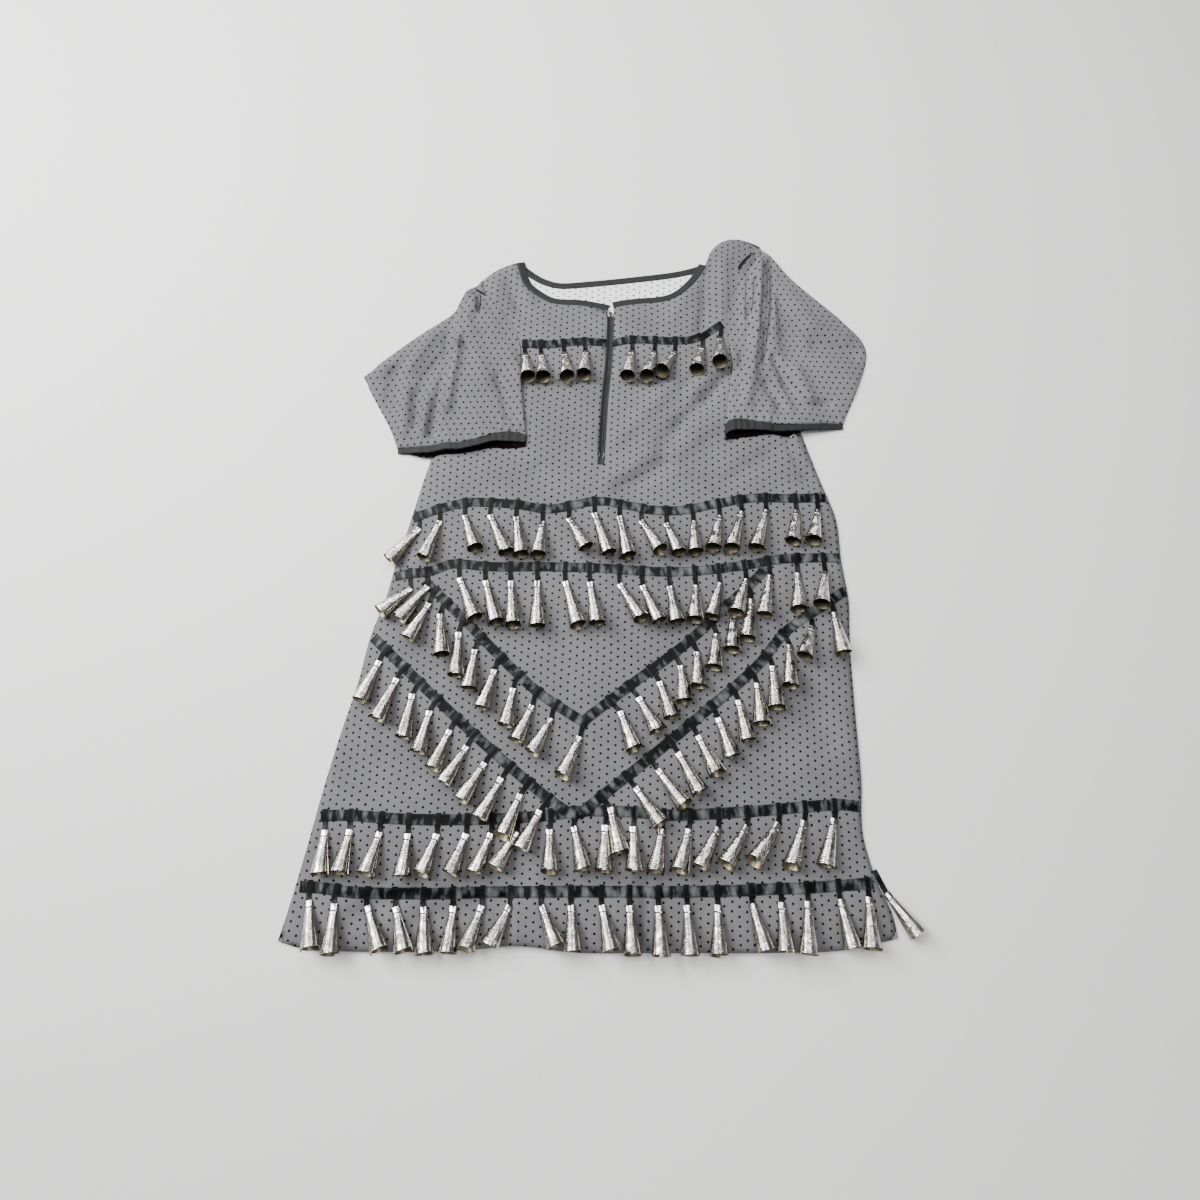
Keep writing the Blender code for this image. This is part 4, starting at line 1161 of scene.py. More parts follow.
def grown(piece, group, sockets, **sizes):
    """The piece with the tree run on it, as a plain mesh."""
    growth = piece.modifiers.new("Grow", "NODES")
    growth.node_group = group
    for name, value in sizes.items():
        growth[sockets[name]] = value
    return settled(piece)


def lines_piece(name, lines):
    """A mesh of edges alone, one chain for each list of points."""
    vertices, edges = [], []
    for line in lines:
        edges += [(len(vertices) + i, len(vertices) + i + 1) for i in range(len(line) - 1)]
        vertices += line
    mesh = bpy.data.meshes.new(name)
    mesh.from_pydata(vertices, edges, [])
    return in_scene(name, mesh)


def block_row_group(name, material):
    """Blocks of a length, width and thickness, a pitch apart on each chain of edges."""
    group, given, sockets = new_group(name, {
        "Pitch": 2.5 * MM, "Long": 1.8 * MM, "Wide": 0.5 * MM, "Thick": 0.3 * MM})
    curve = add(group, "GeometryNodeMeshToCurve", {"Mesh": given})
    upright = add(group, "GeometryNodeSetCurveNormal", {"Curve": curve}, mode="Z_UP")
    spaced = add(group, "GeometryNodeResampleCurve", {
        "Curve": upright, "Length": given.outputs["Pitch"]}, mode="LENGTH")
    size = add(group, "ShaderNodeCombineXYZ", {
        "X": given.outputs["Long"], "Y": given.outputs["Wide"], "Z": given.outputs["Thick"]})
    block = add(group, "GeometryNodeMeshCube", {
        "Size": size, "Vertices X": 3, "Vertices Y": 2, "Vertices Z": 2})
    along = add(group, "GeometryNodeInputTangent")
    placed = add(group, "GeometryNodeInstanceOnPoints", {
        "Points": spaced, "Instance": block, "Rotation": kept_level(group, along, "X")})
    finish_group(group, placed, material)
    return group, sockets


# %% [markdown]
# The closed coil is a row of small nylon links down the middle of the zip, wider than
# they are long.  They are set on the chain's middle line, just proud of both tapes.

# %% Zip coil
CHAIN_LIFT = 0.15 * MM
# Moulded nylon: dark grey and smooth enough to catch a thin line of light on each link.
coil_nylon = plain_material("zip coil, nylon", "#2c3133", 0.5)[0]
coil_line = [middle(pair) for pair in run_on(strip_stations("zip_chain"), ZIP_RUN_ON)]
coil_line = [Vector((x, y, max(z, height_at(x, y)) + CHAIN_LIFT)) for x, y, z in coil_line]
coil_group, coil_sockets = block_row_group("coil links", coil_nylon)
zip_coil = grown(lines_piece("zip_coil", [coil_line]), coil_group, coil_sockets,
                 Pitch=1.25 * MM, Long=0.7 * MM, Wide=1.7 * MM, Thick=1.1 * MM)
hand_over(zip_coil, "zip", "zip_chain")
print("faces of the coil:", len(zip_coil.data.polygons))


# %% [markdown]
# The slider is a small casting in brown metal: a waisted body and a crown that the pull
# would hang from.  A box that is tapered and bevelled is enough at this size.

# %% Slider
SLIDER_TAPER = 0.7
CROWN_HALF = 0.7 * MM
CROWN_FROM = 1.2 * MM
CROWN_TO = 1.4 * MM
CROWN_SUNK = 0.9 * MM
CROWN_RISE = 0.4 * MM
SLIDER_BEVEL = 0.35 * MM
# Cast zinc with a bronze finish: a brown metal with a soft shine.
brown_metal = plain_material("slider, bronzed zinc", "#5c4234", 0.35, metallic=1.0)[0]


def tapered_box(solid, low, high, taper=1.0):
    """A box between two corners, its lower end narrower by the taper."""
    for vertex in bmesh.ops.create_cube(solid, size=1.0)["verts"]:
        part = vertex.co + Vector((0.5, 0.5, 0.5))
        vertex.co = Vector(blend(l, h, t) for l, h, t in zip(low, high, part))
        if part.y < 0.5:
            centre = 0.5 * (low[0] + high[0])
            vertex.co.x = centre + (vertex.co.x - centre) * taper


slider_low, slider_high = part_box("zip_slider")
slider_middle = 0.5 * (slider_low + slider_high)
slider_solid = bmesh.new()
tapered_box(slider_solid, slider_low, slider_high + 1.0 * MM * DOWN, SLIDER_TAPER)
tapered_box(
    slider_solid,
    (slider_middle.x - CROWN_HALF, slider_low.y + CROWN_FROM, slider_high.z - CROWN_SUNK),
    (slider_middle.x + CROWN_HALF, slider_high.y - CROWN_TO, slider_high.z + CROWN_RISE))
slider = piece_from(slider_solid, "zip_slider_body", (brown_metal,))
soften = slider.modifiers.new("Soften", "BEVEL")
soften.width = SLIDER_BEVEL
soften.segments = 2
settled(slider).data.shade_smooth()
hand_over(slider, "zip", "zip_slider")
print("faces of the slider:", len(slider.data.polygons))


# %% [markdown]
# ## Ribbons
# Half-inch satin ribbon is sewn over the hangers' upper ends.  It is drawn out on the
# cloth in closed sections, 2 mm apart, and rises over each hanger below it.  Satin shows
# every such rise as a light and a dark patch; here its colour carries soft grey patches of
# painted highlight along its length, left out over each hanger, so that the black band
# there is a painted shade.
# Where the arms of a V cross, the one laid last lies on top, because each ribbon joins
# the heights before the next is laid.

# %% Satin ribbons
RIBBON_STEP = 2.2 * MM
RIBBON_POINTS = 6
RIBBON_THICK = 0.5 * MM
RIBBON_LOWER_REACH = 2.1 * MM
HANGER_RISE = 0.85 * MM
HANGER_HALF = 3.2 * MM
RISE_FLANK = 2.2 * MM
CLOTH_GAP = 0.15 * MM
CHEST_RUN_ON = 3.5 * MM
RIBBON_WIDTH = 12.7 * MM
RIBBON_WAVE = 0.7 * MM
WAVE_SIZE = (12 * MM, 14 * MM)
SHADE_BAND_MORE = 0.8 * MM
SHADE_BAND_FADE = 1.2 * MM
STREAK_SIZE = (10 * MM, 24 * MM)
STREAK_TURN = math.radians(24.0)
PATCH_FADE = 0.22
SATIN_DULL = 0.5
SATIN_BRIGHT = 0.34
SATIN_SPECULAR = 0.12


def satin(name, black, light, threshold, own_map):
    """Black satin with soft patches of painted highlight, placed by the piece's own map or by where
    it lies.
    """
    material, tree, shader = new_material(name)
    if own_map:
        place = add(tree, "ShaderNodeUVMap", uv_map="UVMap").outputs[0]
    else:
        place = add(tree, "ShaderNodeTexCoord").outputs["Object"]
    streaks = add(tree, "ShaderNodeMapping", {
        "Vector": place, "Rotation": (0.0, 0.0, STREAK_TURN),
        "Scale": (1.0 / STREAK_SIZE[0], 1.0 / STREAK_SIZE[1], 1.0)})
    streak = add(tree, "ShaderNodeTexNoise", {"Vector": streaks, "Scale": 1.0, "Detail": 2.5})
    painted_highlight_patch = add(tree, "ShaderNodeMapRange", {
        0: streak, 1: threshold, 2: threshold + PATCH_FADE, 3: 0.0, 4: 1.0})
    # Painted shade: over the hangers the painted highlight is left out, so the ribbon is black
    # there.
    pressed = add(tree, "ShaderNodeAttribute", attribute_name="over_hanger").outputs["Fac"]
    free = add(tree, "ShaderNodeMath", {0: 1.0, 1: pressed}, operation="SUBTRACT")
    painted_highlight_patch = add(tree, "ShaderNodeMath", {0: painted_highlight_patch, 1: free}, operation="MULTIPLY")
    colour = add(tree, "ShaderNodeMix", {
        0: painted_highlight_patch, 6: linear(black), 7: linear(light)}, data_type="RGBA").outputs[2]
    shine = add(tree, "ShaderNodeMapRange", {
        0: painted_highlight_patch, 1: 0.0, 2: 1.0, 3: SATIN_DULL, 4: SATIN_BRIGHT})
    bump = add(tree, "ShaderNodeBump", {"Height": streak, "Distance": 0.6 * MM, "Strength": 0.4})
    feed(tree, shader, {"Base Color": colour, "Roughness": shine,
                        "Specular IOR Level": SATIN_SPECULAR, "Normal": bump})
    return material


# Polyester satin, black; its colour carries soft grey patches of painted highlight where
# its long threads would catch the light.
black_satin = satin("black satin ribbon", "#030404", "#5b5f5f", 0.45, True)
hanger_satin = satin("black satin, narrow", "#020303", "#2e3234", 0.52, False)


def ribbon_stations(row):
    """The row's stations, the chest ribbons' carried on until they meet the zip."""
    stations = strip_stations("ribbon_" + row)
    if row == "chest_right":
        stations = run_on(stations, CHEST_RUN_ON)
    if row == "chest_left":
        stations = run_on(stations[::-1], CHEST_RUN_ON)[::-1]
    return even_stations(stations, RIBBON_STEP)


ribbon_edges = {}


def ribbon_piece(row):
    """The row's ribbon, risen over its hangers' upper ends."""
    roots = [root for root, _, _ in cones[row]]
    stations = ribbon_stations(row)
    sections, edges, pressed = [], [], []
    for index, (a, b) in enumerate(stations):
        last = len(stations) - 1
        ahead = middle(stations[min(index + 1, last)]) - middle(stations[max(index - 1, 0)])
        ahead.z = 0.0
        low = a + (a - b).normalized() * RIBBON_LOWER_REACH
        nearest = min(abs((root - low).dot(ahead.normalized())) for root in roots)
        rise = HANGER_RISE * smooth_step((HANGER_HALF + RISE_FLANK - nearest) / RISE_FLANK)
        top, bottom = [], []
        for step in range(RIBBON_POINTS):
            spot = low.lerp(b, step / (RIBBON_POINTS - 1))
            wave = noise.noise(Vector((spot.x / WAVE_SIZE[0], spot.y / WAVE_SIZE[1], 5.0)))
            z = height_at(*spot.xy) + CLOTH_GAP + RIBBON_WAVE * max(0.0, wave) + rise
            top.append((spot.x, spot.y, z + RIBBON_THICK))
            bottom.append((spot.x, spot.y, z))
        sections.append(top + bottom[::-1])
        edges.append((Vector(top[0]), Vector(top[-1])))
        # Painted shade: how much of the painted highlight is left out over a hanger.
        over = smooth_step((HANGER_HALF + SHADE_BAND_MORE - nearest) / SHADE_BAND_FADE)
        pressed += [over] * 2 * RIBBON_POINTS
    piece = loft("satin_" + row, sections, (black_satin,))
    add_uv(piece, 2 * RIBBON_POINTS, RIBBON_STEP, RIBBON_WIDTH)
    shade_band_map = piece.data.attributes.new("over_hanger", "FLOAT", "POINT")
    shade_band_map.data.foreach_set("value", pressed)
    bpy.context.view_layer.update()
    remember(piece)
    ribbon_edges[row] = edges
    return piece


ribbons = {row: ribbon_piece(row) for row in RIBBON_ROWS}
print("faces of the ribbons:", sum(len(piece.data.polygons) for piece in ribbons.values()))


# %% [markdown]
# Machine stitches run along both edges of each ribbon.  They are small raised blocks of
# thread, 2.6 mm apart, and again one tree sets them all.

# %% Stitches along the ribbons
STITCH_INSET = 0.09
STITCH_LIFT = 0.05 * MM
# Spun thread: black and matt, so that the stitches show by their shadows alone.
dark_thread = plain_material("black sewing thread", "#0d0f10", 0.7)[0]

stitch_lines = [[low.lerp(high, inset) - STITCH_LIFT * DOWN for low, high in pairs]
                for pairs in ribbon_edges.values() for inset in (STITCH_INSET, 1.0 - STITCH_INSET)]
stitch_group, stitch_sockets = block_row_group("stitches", dark_thread)
stitches = grown(lines_piece("ribbon_stitches", stitch_lines), stitch_group, stitch_sockets,
                 Pitch=2.6 * MM, Long=1.9 * MM, Wide=0.45 * MM, Thick=0.3 * MM)
hand_over(stitches, "satin")
print("faces of the stitches:", len(stitches.data.polygons))


# %% [markdown]
# ## Tin cones
# Each jingle is a trapezoid of tin rolled into a cone until its edges lap, and crimped
# flat on its hanger at the top.  The tree bends a small grid round an axis: across the
# grid is the turn, down it is the way to the mouth.  Turning a little further than once,
# with the outer lap wider than the inner, gives the rolled mouth.  Four cones with their
# laps on different sides are made, and every hanger gets one of them, aimed its own way.

# %% Materials of the cones
KNURLS = 27.0
KNURL_WANDER = 9.0
KNURLED_SIDE = 0.33
CRIMP_LINE = 0.145
CRIMP_HALF = 0.02
CRIMP_DEPTH = 4.0
HAMMER_MARK = 3.4 * MM
TARNISH_SIZE = 7 * MM
SMEAR_SIZE = 6 * MM
KNURL_PATCH = 11 * MM
WANDER_SIZE = 4 * MM

# Tinplate, rolled bright: a mirror that handling has smeared, knurled along one side and
# hammered all over.  Where the cone turns away it is painted yellower and darker: a
# painted shade.
bright_tin, tree, shader = new_material("rolled tin, bright side")
place = add(tree, "ShaderNodeTexCoord").outputs["Object"]
rolled_map = add(tree, "ShaderNodeUVMap", uv_map="UVMap")
turns, down = add(tree, "ShaderNodeSeparateXYZ", {0: rolled_map}).outputs[:2]

shade = add(tree, "ShaderNodeTexNoise", {
    "Vector": place, "Scale": 1.0 / TARNISH_SIZE, "Detail": 3.0})
shade = add(tree, "ShaderNodeMapRange", {0: shade, 1: 0.35, 2: 0.65, 3: 0.0, 4: 1.0})
clean = add(tree, "ShaderNodeMix", {
    0: shade, 6: linear("#f4f2ee"), 7: linear("#cfcac0")}, data_type="RGBA").outputs[2]
# Painted shade: darker and yellower where the cone turns away to its sides.
angle = add(tree, "ShaderNodeMath", {0: turns, 1: math.tau}, operation="MULTIPLY")
sideways = add(tree, "ShaderNodeMath", {0: angle}, operation="COSINE")
sideways = add(tree, "ShaderNodeMath", {0: sideways}, operation="ABSOLUTE")
painted_side_shade = add(tree, "ShaderNodeMapRange", {0: sideways, 1: 0.55, 2: 0.98, 3: 0.0, 4: 0.75})
tin_colour = add(tree, "ShaderNodeMix", {
    0: painted_side_shade, 6: clean, 7: linear("#7d775f")}, data_type="RGBA").outputs[2]
smear = add(tree, "ShaderNodeTexNoise", {
    "Vector": place, "Scale": 1.0 / SMEAR_SIZE, "Detail": 2.0})
smear = add(tree, "ShaderNodeMapRange", {0: smear, 1: 0.35, 2: 0.65, 3: 0.13, 4: 0.27})

facing = add(tree, "ShaderNodeMath", {0: turns, 1: KNURLED_SIDE}, operation="SUBTRACT")
facing = add(tree, "ShaderNodeMath", {0: facing, 1: math.tau}, operation="MULTIPLY")
facing = add(tree, "ShaderNodeMath", {0: facing}, operation="COSINE")
knurled = add(tree, "ShaderNodeMapRange", {0: facing, 1: 0.2, 2: 0.7, 3: 0.0, 4: 1.0})
patchy = add(tree, "ShaderNodeTexNoise", {
    "Vector": place, "Scale": 1.0 / KNURL_PATCH, "Detail": 2.0})
patchy = add(tree, "ShaderNodeMapRange", {0: patchy, 1: 0.38, 2: 0.56, 3: 0.25, 4: 1.0})
below_crimp = add(tree, "ShaderNodeMapRange", {0: down, 1: 0.15, 2: 0.22, 3: 0.0, 4: 1.0})
patchy = add(tree, "ShaderNodeMath", {0: patchy, 1: below_crimp}, operation="MULTIPLY")
along = add(tree, "ShaderNodeMath", {0: down, 1: math.tau * KNURLS}, operation="MULTIPLY")
wander = add(tree, "ShaderNodeTexNoise", {
    "Vector": place, "Scale": 1.0 / WANDER_SIZE, "Detail": 2.0})
along = add(tree, "ShaderNodeMath", {
    0: wander, 1: KNURL_WANDER, 2: along}, operation="MULTIPLY_ADD")
knurl = add(tree, "ShaderNodeMath", {0: along}, operation="SINE")
knurl = add(tree, "ShaderNodeMath", {0: knurl, 1: knurled}, operation="MULTIPLY")
hammered = add(tree, "ShaderNodeTexVoronoi", {
    "Vector": place, "Scale": 1.0 / HAMMER_MARK}, feature="SMOOTH_F1")
relief = add(tree, "ShaderNodeMath", {
    0: knurl, 1: patchy, 2: hammered.outputs[0]}, operation="MULTIPLY_ADD")
from_crimp = add(tree, "ShaderNodeMath", {0: down, 1: CRIMP_LINE}, operation="SUBTRACT")
from_crimp = add(tree, "ShaderNodeMath", {0: from_crimp}, operation="ABSOLUTE")
crease = add(tree, "ShaderNodeMapRange", {
    0: from_crimp, 1: 0.0, 2: CRIMP_HALF, 3: -CRIMP_DEPTH, 4: 0.0})
relief = add(tree, "ShaderNodeMath", {0: relief, 1: crease}, operation="ADD")
bump = add(tree, "ShaderNodeBump", {"Height": relief, "Distance": 0.2 * MM, "Strength": 0.85})
feed(tree, shader, {"Base Color": tin_colour, "Metallic": 1.0, "Roughness": smear, "Normal": bump})

# The inner side keeps its gold lacquer, dulled: a brownish grey without clear reflections.
inner_tin = plain_material("rolled tin, lacquered side", "#86806a", 0.42, metallic=1.0)[0]
print("materials so far:", len(bpy.data.materials))


# %% [markdown]
# The tree for one cone makes a grid one unit wide and long.  Across it runs the turn, and
# down it the way to the mouth, closer together at the top where the crimp is.  Half-widths
# and half-heights grow from the flat neck to the round mouth, and the outer lap grows a
# little more.  The second tree sets the cones on their points, stretches each to its own
# length, dents it, and lets its mouth reach further on the side that lies on the cloth.

# %% Rolled cones with Geometry Nodes
GRID_ROWS = 8
GRID_TURN = 17
TOP_CLOSER = 1.3
BELLIED = 0.8
LIP = 0.06
PRESSED_FROM = 0.6
PRESSED_TO = 1.4
AT_MOUTH = 3.0
SEAM_SIDES = 4
SEAM_START = 0.35
SEAM_SEED = 7
TIN_WALL = 0.45 * MM


def rolled_cone_group():
    """One cone of length 1 down -Y, its top at the origin."""
    group = bpy.data.node_groups.new("rolled cone", "GeometryNodeTree")
    for name, value in (("Seam", 0.0), ("Lap", 1.2), ("Roll", 0.09), ("Crimp", 0.14),
                        ("Mouth Wide", 11.4 * MM), ("Mouth High", 9.8 * MM),
                        ("Neck Wide", 4.1 * MM), ("Neck High", 1.1 * MM), ("Flare", 0.35 * MM)):
        group_input(group, name, "NodeSocketFloat", value)
    group.interface.new_socket(name="Geometry", in_out="OUTPUT", socket_type="NodeSocketGeometry")
    given = group.nodes.new("NodeGroupInput").outputs

    grid = add(group, "GeometryNodeMeshGrid", {
        "Size X": 1.0, "Size Y": 1.0, "Vertices X": GRID_ROWS, "Vertices Y": GRID_TURN})
    place = add(group, "GeometryNodeInputPosition")
    parts = add(group, "ShaderNodeSeparateXYZ", {0: place}).outputs
    down = add(group, "ShaderNodeMath", {0: parts[0], 1: 0.5}, operation="ADD")
    down = add(group, "ShaderNodeMath", {0: down, 1: TOP_CLOSER}, operation="POWER")
    turn = add(group, "ShaderNodeMath", {0: parts[1], 1: 0.5}, operation="ADD")
    turns = add(group, "ShaderNodeMath", {
        0: turn, 1: given["Lap"], 2: given["Seam"]}, operation="MULTIPLY_ADD")
    rolled_place = add(group, "ShaderNodeCombineXYZ", {"X": turns, "Y": down})
    mapped = add(group, "GeometryNodeStoreNamedAttribute", {
        "Geometry": grid, "Name": "UVMap", "Value": rolled_place},
        data_type="FLOAT2", domain="CORNER")

    opened = add(group, "ShaderNodeMapRange", {0: down, 1: given["Crimp"], 2: 1.0, 3: 0.0, 4: 1.0})
    pressed_from = add(group, "ShaderNodeMath", {
        0: given["Crimp"], 1: PRESSED_FROM}, operation="MULTIPLY")
    pressed_to = add(group, "ShaderNodeMath", {
        0: given["Crimp"], 1: PRESSED_TO}, operation="MULTIPLY")
    pressed = add(group, "ShaderNodeMapRange", {
        0: down, 1: pressed_from, 2: pressed_to, 3: given["Flare"], 4: 0.0})
    wide = add(group, "ShaderNodeMapRange", {
        0: opened, 1: 0.0, 2: 1.0, 3: given["Neck Wide"], 4: given["Mouth Wide"]})
    wide = add(group, "ShaderNodeMath", {0: wide, 1: pressed}, operation="ADD")
    bellied = add(group, "ShaderNodeMath", {0: opened, 1: BELLIED}, operation="POWER")
    high = add(group, "ShaderNodeMapRange", {
        0: bellied, 1: 0.0, 2: 1.0, 3: given["Neck High"], 4: given["Mouth High"]})

    lap = add(group, "ShaderNodeMath", {0: turn, 1: 1.0}, operation="SUBTRACT")
    lap = add(group, "ShaderNodeMath", {0: lap, 1: given["Roll"]}, operation="MULTIPLY")
    lap = add(group, "ShaderNodeMath", {0: lap, 1: opened, 2: 1.0}, operation="MULTIPLY_ADD")
    angle = add(group, "ShaderNodeMath", {0: turns, 1: math.tau}, operation="MULTIPLY")
    across = add(group, "ShaderNodeMath", {0: angle}, operation="COSINE")
    upward = add(group, "ShaderNodeMath", {0: angle}, operation="SINE")
    wide = add(group, "ShaderNodeMath", {0: wide, 1: lap}, operation="MULTIPLY")
    high = add(group, "ShaderNodeMath", {0: high, 1: lap}, operation="MULTIPLY")
    x = add(group, "ShaderNodeMath", {0: wide, 1: across}, operation="MULTIPLY")
    z = add(group, "ShaderNodeMath", {0: high, 1: upward}, operation="MULTIPLY")
    lip = add(group, "ShaderNodeMath", {0: opened, 1: LIP}, operation="MULTIPLY")
    aside = add(group, "ShaderNodeMath", {0: turn, 1: 0.5}, operation="SUBTRACT")
    reach = add(group, "ShaderNodeMath", {0: aside, 1: lip, 2: down}, operation="MULTIPLY_ADD")
    y = add(group, "ShaderNodeMath", {0: reach, 1: -1.0}, operation="MULTIPLY")
    bent = add(group, "ShaderNodeCombineXYZ", {"X": x, "Y": y, "Z": z})
    cone = add(group, "GeometryNodeSetPosition", {"Geometry": mapped, "Position": bent})
    outward = add(group, "GeometryNodeFlipFaces", {"Mesh": cone})
    add(group, "NodeGroupOutput", {"Geometry": outward})
    return group


def cone_rows_group():
    """Cones on points that carry an aim and a slant; the aim is as long as the cone."""
    group, given, sockets = new_group(
        "cones on hangers", {"Dent": 0.35 * MM, "Dent Size": 9.0 * MM})
    one_cone = rolled_cone_group()
    kinds = group.nodes.new("GeometryNodeJoinGeometry")
    for side in range(SEAM_SIDES):
        cone = add(group, "GeometryNodeGroup", node_tree=one_cone)
        cone.inputs["Seam"].default_value = (side + SEAM_START) / SEAM_SIDES
        kind = add(group, "GeometryNodeGeometryToInstance", {0: cone})
        feed(group, kinds, {0: kind})
    aim = add(group, "GeometryNodeInputNamedAttribute", {"Name": "aim"}, data_type="FLOAT_VECTOR")
    back = add(group, "ShaderNodeVectorMath", {0: aim, "Scale": -1.0}, operation="SCALE")
    length = add(group, "ShaderNodeVectorMath", {0: aim}, operation="LENGTH").outputs[1]
    stretch = add(group, "ShaderNodeCombineXYZ", {"X": 1.0, "Y": length, "Z": 1.0})
    pick = add(group, "FunctionNodeRandomValue", {
        "Min": 0, "Max": SEAM_SIDES - 1, "Seed": SEAM_SEED}, data_type="INT")
    chosen = next(socket for socket in pick.outputs if socket.enabled)
    placed = add(group, "GeometryNodeInstanceOnPoints", {
        "Points": given, "Instance": kinds, "Pick Instance": True, "Instance Index": chosen,
        "Rotation": kept_level(group, back, "Y"), "Scale": stretch})
    real = add(group, "GeometryNodeRealizeInstances", {0: placed})

    place = add(group, "GeometryNodeInputPosition")
    scale = add(group, "ShaderNodeMath", {
        0: 1.0, 1: given.outputs["Dent Size"]}, operation="DIVIDE")
    rough = add(group, "ShaderNodeTexNoise", {
        "Vector": place, "Scale": scale, "Detail": 1.0}).outputs[1]
    dent = add(group, "ShaderNodeVectorMath", {0: rough, 1: (0.5, 0.5, 0.5)}, operation="SUBTRACT")
    dent = add(group, "ShaderNodeVectorMath", {
        0: dent, "Scale": given.outputs["Dent"]}, operation="SCALE")

    mapped = add(group, "GeometryNodeInputNamedAttribute", {
        "Name": "UVMap"}, data_type="FLOAT_VECTOR")
    slant = add(group, "GeometryNodeInputNamedAttribute", {"Name": "slant"}, data_type="FLOAT")
    turns, down = add(group, "ShaderNodeSeparateXYZ", {0: mapped}).outputs[:2]
    angle = add(group, "ShaderNodeMath", {0: turns, 1: -math.tau}, operation="MULTIPLY")
    low_side = add(group, "ShaderNodeMath", {0: angle}, operation="SINE")
    reach = add(group, "ShaderNodeMath", {0: low_side, 1: slant}, operation="MULTIPLY")
    at_mouth = add(group, "ShaderNodeMath", {0: down, 1: AT_MOUTH}, operation="POWER")
    reach = add(group, "ShaderNodeMath", {0: reach, 1: at_mouth}, operation="MULTIPLY")
    reach = add(group, "ShaderNodeVectorMath", {0: aim, "Scale": reach}, operation="SCALE")
    change = add(group, "ShaderNodeVectorMath", {0: dent, 1: reach}, operation="ADD")
    dented = add(group, "GeometryNodeSetPosition", {"Geometry": real, "Offset": change})
    finish_group(group, dented, bright_tin)
    return group, sockets


def points_piece(name, points, aims, slants):
    """A mesh of points alone, each with its aim and slant."""
    mesh = bpy.data.meshes.new(name)
    mesh.from_pydata(points, [], [])
    mesh.attributes.new("aim", "FLOAT_VECTOR", "POINT").data.foreach_set(
        "vector", [part for aim in aims for part in aim])
    mesh.attributes.new("slant", "FLOAT", "POINT").data.foreach_set("value", slants)
    return in_scene(name, mesh)


REST_GAP = 0.15 * MM
MOST_LOWERED = 0.4 * MM
CHEST_FROM = 0.1
CHEST_SLANT = 0.07
LEAST_SLANT = 0.01
SLANT_RANGE = 0.07
SLANT_SIZE = 22 * MM


def rested(cone):
    """The cone raised, or lowered a little, until it just lies on the cloth."""
    root, neck, mouth = (point.copy() for point in cone)
    neck_floor, mouth_floor = neck.z - NECK_HALF_HEIGHT, mouth.z - MOUTH_RADIUS
    under_neck = max(height_at(*neck.lerp(mouth, t).xy) for t in (0.0, 0.1, 0.2))
    neck.z += max(under_neck + REST_GAP - neck_floor, -MOST_LOWERED)
    mouth_need = max(
        (height_at(*neck.lerp(mouth, t).xy) + REST_GAP - blend(neck_floor, mouth_floor, t)) / t
        for t in (0.4, 0.6, 0.8, 1.0))
    mouth.z += max(mouth_need, -MOST_LOWERED)
    return root, neck, mouth


def slant_of(neck):
    """How far the mouth's low side reaches, as a share of the cone's length."""
    if neck.y > CHEST_FROM:
        return CHEST_SLANT
    return LEAST_SLANT + SLANT_RANGE * max(0.0, noise.noise(neck / SLANT_SIZE))


all_cones = [rested(cone) for found in cones.values() for cone in found]
cone_group, cone_sockets = cone_rows_group()
tin_cones = points_piece("tin_cones", [neck for _, neck, _ in all_cones],
                         [mouth - neck for _, neck, mouth in all_cones],
                         [slant_of(neck) for _, neck, _ in all_cones])
grown(tin_cones, cone_group, cone_sockets)
tin_cones.data.materials.append(inner_tin)
wall = tin_cones.modifiers.new("Wall", "SOLIDIFY")
wall.thickness = TIN_WALL
wall.offset = -1.0
wall.material_offset = 1
settled(tin_cones).data.set_sharp_from_angle(angle=SHARP_EDGE)
hand_over(tin_cones, "tin", *["jingles_" + row for row in RIBBON_ROWS], "jingle_side")
print("faces of the cones:", len(tin_cones.data.polygons))


# %% [markdown]
# Each hanger is a narrow satin ribbon whose upper end peeps out above the row's ribbon.
# It passes under that ribbon and ends inside the crimped top of its cone.  The tree
# sweeps a flat rectangle along each line, with the rectangle kept level.

# %% Hangers
HANGER_WIDTH = 6.0 * MM
HANGER_THICK = 0.7 * MM
HANGER_PEEP = 1.3 * MM
HANGER_INSIDE = 3.0 * MM
HANGER_STATIONS = 14
SAG_AT = 0.55
SAG_GAP = 0.6 * MM
SAG_RANGE = 1.5 * MM
ROOT_GAP = 0.5 * MM


def hanger_line(root, neck, mouth):
    """From above the row's ribbon, under it and over the cloth into the cone's top."""
    inside = neck + (mouth - neck).normalized() * HANGER_INSIDE
    sag = root.lerp(neck, SAG_AT)
    lowest = height_at(*sag.xy) + SAG_GAP
    sag.z = max(lowest, min(sag.z, lowest + SAG_RANGE))
    path = [root.copy(), sag, neck, inside]
    path[0].z = max(0.5 * HANGER_THICK, height_at(*root.xy) + ROOT_GAP)
    near = [(min((low - root).length for low, _ in pairs), row)
            for row, pairs in ribbon_edges.items()]
    distance, row = min(near)
    if distance < NECK_REACH:
        low, high = min(ribbon_edges[row], key=lambda pair: (pair[0] - root).length)
        under = Vector((0.0, 0.0, RIBBON_THICK + 0.5 * HANGER_THICK))
        away = (high - low).normalized()
        path[0].z = low.z - under.z
        path.insert(0, high - under)
        path.insert(0, high - under + away * HANGER_PEEP)
    return [Vector((x, y, max(z, HANGER_THICK))) for x, y, z in path]


